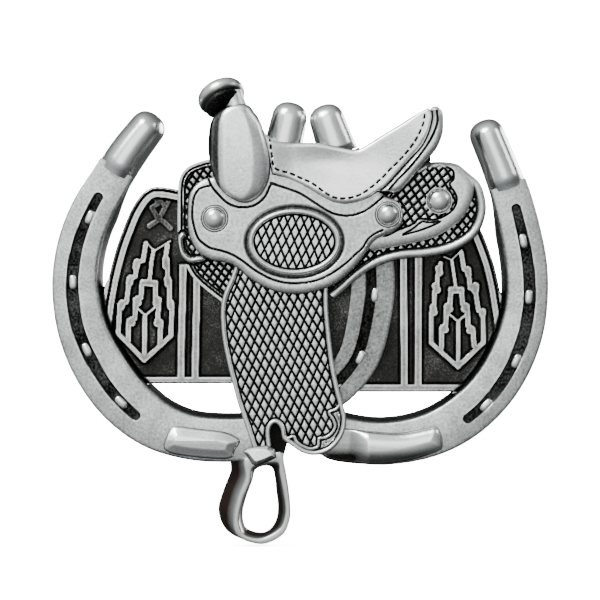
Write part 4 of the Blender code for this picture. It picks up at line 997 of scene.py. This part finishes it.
def fork_surface(x, z, depth):
    """The pad rises as a quarter circle from 1.5 mm outside its outline; the wall beyond it has
    painted shade, black at the left and grey on the slope at the right, and the foot is painted
    grey as shade."""
    pad = within(x, z, pad_ring)
    rise = np.clip((pad + 1.5) / (2.7 + 1.8 * ease((x + 10.5) / 3)), 0, 1)
    foot = np.clip(depth / 0.8, 0, 1)
    # Painted shade: the tone goes black on the wall left of the pad, a little grey on the slope
    # right of it, and grey at the foot below z 21.8.
    left = ease((0.15 - pad) / 0.5) * ease((-x - 11.5) / 1.5)
    right = ease((0.1 - pad) / 0.5) * ease((x + 11.5) / 1.5)
    height = 5.0 + 0.7 * np.sqrt(foot * (2 - foot)) + 2.7 * np.sqrt(rise * (2 - rise))
    height += 0.5 * np.sin(np.clip((z - 19) / 17, 0, 1) * math.pi)
    tone = 0.86 - 0.82 * left - 0.15 * right - 0.25 * ease((21.8 - z) / 2.5)
    return height, tone


fit(relief("fork_swelled", lambda x, z: within(x, z, fork_ring), fork_surface, 4.2,
           (-17.5, 18.5, -4.5, 38), bright, pitch=0.14, crease=50), "antique_silver",
    "fork_swell")

# ---- Horn ----------------------------------------------------------------------------------
# The horn leans forward from the fork: a short neck under a thick cap with a rolled rim and a
# hollow underside, tipped so that the hollow shows.


def turned_about(name, origin, axis, profile, tone, finish, squash=1.0, count=64, crease=40):
    """A profile of (radius, distance along the axis) turned about any axis through an origin."""
    axis = np.array(axis) / np.linalg.norm(axis)
    first = np.cross(axis, (0.1, 0.9, 0.2))
    first /= np.linalg.norm(first)
    second = np.cross(axis, first)
    around = np.linspace(0, math.tau, count, endpoint=False)[None, :, None]
    radius, climb = (np.array(column)[:, None, None] for column in zip(*profile))
    points = (np.array(origin) + climb * axis + radius * np.cos(around) * first
              + radius * np.sin(around) * squash * second)
    shade = np.array(tone)[:, None] + np.zeros((1, count))
    faces = ring_faces(len(profile), count)
    return make_piece(name, points.reshape(-1, 3), faces, shade, finish, crease)


HORN_AXIS = (-0.36, 0.5, 0.78)
rim_turn = np.linspace(-math.pi / 2, math.pi / 2, 16)
cap_profile = [(0.0, -3.5), (2.0, -3.4), (3.0, -2.9), (3.7, -2.2)]
cap_profile += [(3.2 + 1.15 * math.cos(a), -0.2 + 1.5 * math.sin(a)) for a in rim_turn[2:]]
cap_profile += [(3.0 * math.cos(a), 1.3 + 0.5 * math.sin(a)) for a in rim_turn[9:]]
cap_profile[-1] = (0.0, 1.8)
# The tone paints shade: near black over the underside and the lower rim, rising to bright on the
# top.
cap_tone_and_shade = [0.02, 0.02, 0.02, 0.03] + [0.05, 0.1, 0.2, 0.5, 0.85] + [0.97] * 16
fit(turned_about("horn_cap_rolled", (-14.25, -3.9, 38.8), HORN_AXIS, cap_profile, cap_tone_and_shade,
                 polished), "polished_silver", "horn_cap")
neck_profile = [(0.0, -3.2), (2.3, -3.2), (2.2, -2.2), (2.05, -1.2), (1.95, 0.0), (1.95, 1.2),
                (2.0, 2.2), (0.0, 2.3)]
fit(turned_about("horn_neck_waisted", (-11.7, -5.5, 37.1), (-0.32, 0.12, 0.93), neck_profile,
                 [0.5, 0.6, 0.85, 0.92, 0.92, 0.9, 0.7, 0.4], antique, crease=75),
    "antique_silver", "horn_neck")

# ---- Stirrup -------------------------------------------------------------------------------
# A bell-shaped bent band hangs from the fender's strap, with its broad outer wall turned to
# the left, below a faceted block where the strap is folded over it.

STIRRUP_FRONT_OUTER = [(-6.8, -26.3), (-3.5, -25.3), (-2.7, -27.9), (-2.1, -31.3), (-1.7, -34.7),
                       (-1.8, -37.6), (-3.1, -40.3), (-6.3, -41.9), (-9.5, -41.4), (-11.5, -40.0),
                       (-11.9, -37.3), (-11.2, -33.7), (-9.8, -30.1), (-9.9, -26.6)]
STIRRUP_FRONT_INNER = [(-6.5, -27.5), (-4.0, -27.4), (-3.7, -29.2), (-3.2, -31.7), (-2.7, -34.6),
                       (-2.7, -36.7), (-3.7, -39.1), (-6.8, -40.8), (-9.8, -40.3), (-10.7, -38.9),
                       (-10.9, -37.1), (-10.2, -34.0), (-8.9, -30.8), (-8.5, -28.3)]
STIRRUP_BACK_INNER = [(-6.5, -28.1), (-5.2, -28.4), (-4.7, -29.7), (-4.4, -32.4), (-4.1, -35.3),
                      (-4.3, -37.3), (-5.2, -39.1), (-6.7, -40.0), (-9.0, -39.6), (-10.0, -38.6),
                      (-10.3, -36.5), (-9.7, -33.8), (-8.6, -30.8), (-8.0, -28.8)]
STIRRUP_BACK_OUTER = [(-7.2, -26.3), (-3.4, -25.4), (-2.9, -27.9), (-2.3, -31.3), (-2.1, -34.7),
                      (-2.3, -37.4), (-3.8, -40.0), (-7.6, -41.6), (-11.5, -40.9), (-13.9, -39.0),
                      (-14.9, -35.8), (-14.0, -32.4), (-12.7, -29.0), (-12.2, -26.3)]
# Antique silver that kept a warm brown patina on the walls no wheel can reach.
browned = silver("antique silver plate, brown patina on the walls",
                 ("#0A0706", "#46372F", "#9DA09E", "#E0E3E1"), (0.55, 0.3), grain=0.1)


def stirrup():
    """Four closed curves give the corners of the band; its sides are straight between them, and
    each corner is rounded by a quarter of a Bezier arc. Rows run round the band."""
    loops = [curve(loop, closed=True, steps=22) for loop in
             (STIRRUP_FRONT_OUTER, STIRRUP_BACK_OUTER, STIRRUP_BACK_INNER, STIRRUP_FRONT_INNER)]
    corners = np.stack([np.column_stack([loop, np.full(len(loop), h)])
                        for loop, h in zip(loops, (5.0, 0.4, 0.4, 5.0))], 1)
    section, shades = [], []
    for k, (shade, side_shade) in enumerate(((0.86, 0.3), (0.3, 0.25), (0.15, 0.08), (0.86, 0.8))):
        corner = corners[:, k]
        before, after = corners[:, k - 1] - corner, corners[:, (k + 1) % 4] - corner
        reach = 0.34
        a = corner + before * np.minimum(reach / np.linalg.norm(before, axis=1), 0.45)[:, None]
        b = corner + after * np.minimum(reach / np.linalg.norm(after, axis=1), 0.45)[:, None]
        for u in (0.0, 0.33, 0.67, 1.0):
            section.append((1 - u) ** 2 * a + 2 * u * (1 - u) * corner + u * u * b)
            shades.append(shade)
        section.append(corner + 0.5 * after)
        shades.append(side_shade)
    ring = np.stack(section, 1)
    ring = np.concatenate([ring, ring[:1]])
    points = np.stack([ring[..., 0], -ring[..., 2], ring[..., 1]], 2)
    tone = np.array(shades)[None, :] + np.zeros(points.shape[:2])
    return make_piece("stirrup_bent", points.reshape(-1, 3), ring_faces(*tone.shape), tone,
                      browned, crease=40)


fit(stirrup(), "antique_silver", "stirrup")
BLOCK = [(-10.2, -25.3), (-9.6, -24.7), (-8.0, -24.3), (-5.8, -24.1), (-4.6, -24.8), (-4.2, -26.3),
         (-5.8, -27.1), (-7.9, -27.8), (-8.7, -27.4), (-9.5, -26.1)]
block_ring = np.array(BLOCK)


def block_surface(x, z, depth):
    """A ridge runs from the block's left corner up to its right edge; planes fall away from it."""
    ridge = 0.5 * (x + 6.0) - 26.4
    above = np.clip(z - ridge, 0, None)
    below = np.clip(ridge - z, 0, None)
    height = 7.0 - 0.2 * above - 0.5 * below
    # The plane below the ridge is toned up to 0.3 darker: painted shade on the lower facet.
    return np.minimum(height, 5.6 + 1.6 * depth), 0.88 - 0.3 * ease(below / 0.3)


fit(relief("strap_block_faceted", lambda x, z: within(x, z, block_ring), block_surface, 4.9,
           (-12, -29, -3, -23), antique, pitch=0.11, crease=18), "polished_silver",
    "stirrup_block")

# ---- Belt hardware -------------------------------------------------------------------------
# Behind, two ears soldered to the web each hold a steel pin, and a bail of square bar swings on
# them: the belt's folded end goes round the bail, and a stud on the other side takes a belt hole.

BELT_WINDOW, BAIL_BAR, BAIL_REACH = 41.0, 2.2, 21.2
HINGE_X, HINGE_Y = 10.0, 5.7
EYE_LOW, EYE_HIGH = BELT_WINDOW / 2 - 0.2, BELT_WINDOW / 2 + BAIL_BAR + 0.2
EAR_LOW, EAR_HIGH = EYE_HIGH + 0.4, EYE_HIGH + 2.4
steel = silver("brushed steel pin", ("#2B2C2E", "#6E7073", "#A9ABAE", "#D8DADC"), (0.42, 0.28),
               grain_size=0.2, grain=0.05, bump=0.1)


def pierced(outer, inner, low, high, soft=0.25):
    """Points and faces of a slab between an outer and an inner closed curve of (x, y), from low
    to high along Z, with all four of its edges chamfered."""
    draw = outer - inner
    draw = soft * draw / np.linalg.norm(draw, axis=1)[:, None]
    corners = ((outer, low + soft), (outer, high - soft), (outer - draw, high),
               (inner + draw, high), (inner, high - soft), (inner, low + soft),
               (inner + draw, low), (outer - draw, low))
    ring = np.stack([np.column_stack([flat, np.full(len(flat), z)]) for flat, z in corners], 1)
    ring = np.concatenate([ring, ring[:1]])
    return ring.reshape(-1, 3), ring_faces(*ring.shape[:2])


turn = np.linspace(0, math.tau, 60, endpoint=False)
unit = np.stack([np.cos(turn), np.sin(turn)], 1)
hinge = np.array([HINGE_X, HINGE_Y])
foot_y = -0.6
# Each ear's outline: a circle above its axis, and below it a foot that widens to 3.4 mm.
below = np.clip(-unit[:, 1], 0, 1)
ear_outline = hinge + unit * 2.4
ear_outline[:, 1] = np.where(unit[:, 1] < 0, HINGE_Y - ease(below * 1.25) * (HINGE_Y - foot_y),
                             ear_outline[:, 1])
ear_outline[:, 0] = HINGE_X + (ear_outline[:, 0] - HINGE_X) + np.sign(unit[:, 0]) * np.where(
    unit[:, 1] < 0, ease(below * 1.25) * (3.4 - 2.4 * np.abs(unit[:, 0])) * (below < 0.98), 0)
bore = hinge + unit * 1.15
for side, low, high in (("upper", EAR_LOW, EAR_HIGH), ("lower", -EAR_HIGH, -EAR_LOW)):
    points, faces = pierced(ear_outline, bore, low, high)
    ear = make_piece(f"{side}_ear_soldered", points, faces, np.full(len(points), 0.72), antique)
    fit(ear, "antique_silver", f"{side}_bail_ear")

PIN_TAIL, PIN_HEAD = EYE_LOW - 0.3, EAR_HIGH + 0.3
pin_profile = [(0.0, PIN_TAIL), (0.75, PIN_TAIL), (1.0, PIN_TAIL + 0.25), (1.0, PIN_HEAD),
               (1.6, PIN_HEAD + 0.02), (1.6, PIN_HEAD + 0.3), (1.35, PIN_HEAD + 0.62),
               (0.8, PIN_HEAD + 0.8), (0.0, PIN_HEAD + 0.82)]
for side, sign in (("upper", 1), ("lower", -1)):
    pin = turned_about(f"{side}_pin_riveted", (HINGE_X, HINGE_Y, 0), (0, 0, sign), pin_profile,
                       [0.85] * len(pin_profile), steel, count=36)
    fit(pin, "pin_steel", f"{side}_bail_pin")


def bail():
    """A bar whose section is |u|^5 + |v|^5 = 1 follows three sides of a rectangle with round
    corners, and ends in two pierced eyes round the pin."""
    reach, middle, corner = HINGE_X + BAIL_REACH - BAIL_BAR / 2, (BELT_WINDOW + BAIL_BAR) / 2, 2.6
    quarter = np.linspace(0, math.pi / 2, 9)
    start = HINGE_X + 1.35
    path = np.vstack([
        np.column_stack([np.linspace(start, reach - corner, 6), np.full(6, -middle)])[:-1],
        np.column_stack([reach - corner + corner * np.sin(quarter),
                         -middle + corner - corner * np.cos(quarter)]),
        np.column_stack([reach - corner + corner * np.cos(quarter),
                         middle - corner + corner * np.sin(quarter)]),
        np.column_stack([np.linspace(reach - corner, start, 6), np.full(6, middle)])[1:]])
    travel = np.gradient(path, axis=0)
    travel /= np.linalg.norm(travel, axis=1)[:, None]
    side = np.stack([travel[:, 1], -travel[:, 0]], 1)
    around = np.linspace(0, math.tau, 32, endpoint=False)
    u = np.sign(np.cos(around)) * np.abs(np.cos(around)) ** 0.4 * BAIL_BAR / 2
    v = np.sign(np.sin(around)) * np.abs(np.sin(around)) ** 0.4 * BAIL_BAR / 2
    flat = path[:, None, :] + side[:, None, :] * u[None, :, None]
    height = HINGE_Y + v[None, :] + 0 * flat[..., 0]
    bar = np.stack([flat[..., 0], height, flat[..., 1]], 2).reshape(-1, 3)
    upper, eye_faces = pierced(hinge + unit * 2.1, bore, EYE_LOW, EYE_HIGH)
    lower = upper * (1, 1, -1)
    points = np.vstack([bar, upper, lower])
    faces = np.vstack([ring_faces(len(path), 32), eye_faces + len(bar),
                       eye_faces[:, ::-1] + len(bar) + len(upper)])
    return make_piece("belt_bail_squared", points, faces, np.full(len(points), 0.78), antique)


fit(bail(), "antique_silver", "belt_bail", body="bail")
base_profile = [(0.0, -0.8), (4.2, -0.8), (4.2, 0.45), (4.05, 0.75), (3.7, 0.95), (2.4, 1.0),
                (0.0, 1.0)]
fit(turned_about("stud_base_soldered", (-30.0, 0.3, 0), (0, 1, 0), base_profile,
                 [0.1, 0.2, 0.7, 0.8, 0.75, 0.55, 0.5], antique), "antique_silver", "stud_base")
stud_profile = [(0.0, 1.0), (2.35, 1.2), (2.3, 1.6), (1.95, 2.1), (1.72, 2.8), (1.7, 4.6),
                (1.8, 5.7), (2.2, 6.2), (2.7, 6.6), (2.8, 7.0), (2.76, 7.4), (2.5, 7.9),
                (2.1, 8.12), (1.2, 8.2), (0.0, 8.2)]
fit(turned_about("belt_stud_turned", (-30.0, 0, 0), (0, 1, 0), stud_profile,
                 [0.4, 0.4, 0.5, 0.7, 0.75, 0.7, 0.5, 0.5, 0.7, 0.9, 0.95, 0.95, 0.9, 0.85, 0.85],
                 polished), "polished_silver", "belt_stud")

# ---- Studio --------------------------------------------------------------------------------
# A pale bowl of paper all round the buckle, which glows as painted light and which the metal
# doesn't reflect, a large softbox from the upper left, a weaker one in front that greys the flat
# faces, and one for the edges.

FLOOR_DROP = 0.0004
BOWL_SIDES = 72


def paper_bowl():
    """Turned about Z: a flat floor, a quarter circle of 0.5 m, then an upright wall."""
    bend = np.linspace(0, math.pi / 2, 20)
    radius = np.concatenate([[0.02, 0.1, 0.3, 0.7], 1.2 + 0.5 * np.sin(bend), [1.7]])[:, None]
    climb = np.concatenate([[0, 0, 0, 0], 0.5 - 0.5 * np.cos(bend), [2.4]])[:, None]
    around = np.linspace(0, math.tau, BOWL_SIDES, endpoint=False)[None, :]
    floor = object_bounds()[0].z - FLOOR_DROP
    points = np.stack([radius * np.cos(around), radius * np.sin(around),
                       climb + floor + 0 * around], 2).reshape(-1, 3)
    mesh = bpy.data.meshes.new("paper_bowl")
    faces = (ring_faces(len(radius), BOWL_SIDES).tolist()
             + [list(range(BOWL_SIDES - 1, -1, -1))])
    mesh.from_pydata(points.tolist(), [], faces)
    mesh.shade_smooth()
    paper = bpy.data.materials.new("pale matt paper, glowing")
    paper.use_nodes = True
    tree = paper.node_tree
    shader = tree.nodes["Principled BSDF"]
    shader.inputs["Base Color"].default_value = linear("#F4F4F4")
    shader.inputs["Roughness"].default_value = 0.9
    place = add_node(tree, "ShaderNodeTexCoord").outputs["Object"]
    away = add_node(tree, "ShaderNodeVectorMath", {0: place}, operation="LENGTH")
    # The paper glows, which is painted light: emission 2.6 within 6 cm of the origin, rising to 12
    # at 0.7 m.
    glow = add_node(tree, "ShaderNodeMapRange", {
        "Value": away.outputs["Value"], "From Min": 0.06, "From Max": 0.7, "To Min": 2.6,
        "To Max": 12.0})
    shader.inputs["Emission Color"].default_value = linear("#FFFFFF")
    tree.links.new(glow.outputs["Result"], shader.inputs["Emission Strength"])
    mesh.materials.append(paper)
    bowl = bpy.data.objects.new("paper_bowl", mesh)
    bowl.visible_glossy = False
    bpy.context.scene.collection.objects.link(bowl)
    bowl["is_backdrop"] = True


paper_bowl()


def softbox(name, place, aim, size, power):
    """A square area light at a place, turned to face its aim, unseen by the camera."""
    data = bpy.data.lights.new(name, "AREA")
    data.size = size
    data.energy = power
    light = bpy.data.objects.new(name, data)
    bpy.context.scene.collection.objects.link(light)
    here, there = np.array(place), np.array(aim)
    light.location = place
    light.rotation_euler = Vector(there - here).to_track_quat("-Z", "Y").to_euler()
    light.visible_camera = False


softbox("key_softbox", (-0.35, -0.45, 0.62), (0, 0, 0), 0.4, 9.0)
softbox("front_softbox", (-0.1, -1.0, 0.22), (0, 0, 0), 0.6, 2.2)
softbox("edge_softbox", (0.6, -0.12, 0.35), (0, 0, 0), 0.25, 0.9)
softbox("rear_softbox", (0.8, 0.85, 0.14), (0, 0, 0), 0.55, 9.0)

# The room the metal reflects, shaded by how far a direction leans to the light: pale in front
# and overhead, dark below and behind, so that steep edges go dark.
world = bpy.data.worlds.new("room")
world.use_nodes = True
room = world.node_tree
direction = add_node(room, "ShaderNodeTexCoord").outputs["Generated"]
toward = add_node(room, "ShaderNodeVectorMath", {0: direction, 1: (-0.42, -0.68, 0.6)},
                  operation="DOT_PRODUCT")
part = add_node(room, "ShaderNodeMapRange", {
    "Value": toward.outputs["Value"], "From Min": -1.0, "From Max": 1.0})
shade = add_node(room, "ShaderNodeValToRGB", {"Fac": part.outputs["Result"]})
for place, colour in ((0.3, "#525252"), (0.55, "#8E9092"), (0.8, "#D6D8DA")):
    shade.color_ramp.elements.new(place).color = linear(colour)
shade.color_ramp.elements[0].color = linear("#505050")
shade.color_ramp.elements[-1].color = linear("#FAFBFC")
room.links.new(shade.outputs["Color"], room.nodes["Background"].inputs["Color"])
room.nodes["Background"].inputs["Strength"].default_value = 1.0
bpy.context.scene.world = world

# The camera looks straight at the face: metres in front of the flat back, and above the origin.
VIEW_DISTANCE = 0.604
VIEW_CENTRE = 0.00198
camera_data = bpy.data.cameras.new("camera")
camera_data.lens = 200
camera_data.sensor_width = 36
camera = bpy.data.objects.new("camera", camera_data)
camera.location = (0, -VIEW_DISTANCE, VIEW_CENTRE)
camera.rotation_euler = (math.pi / 2, 0, 0)
bpy.context.scene.collection.objects.link(camera)
bpy.context.scene.camera = camera
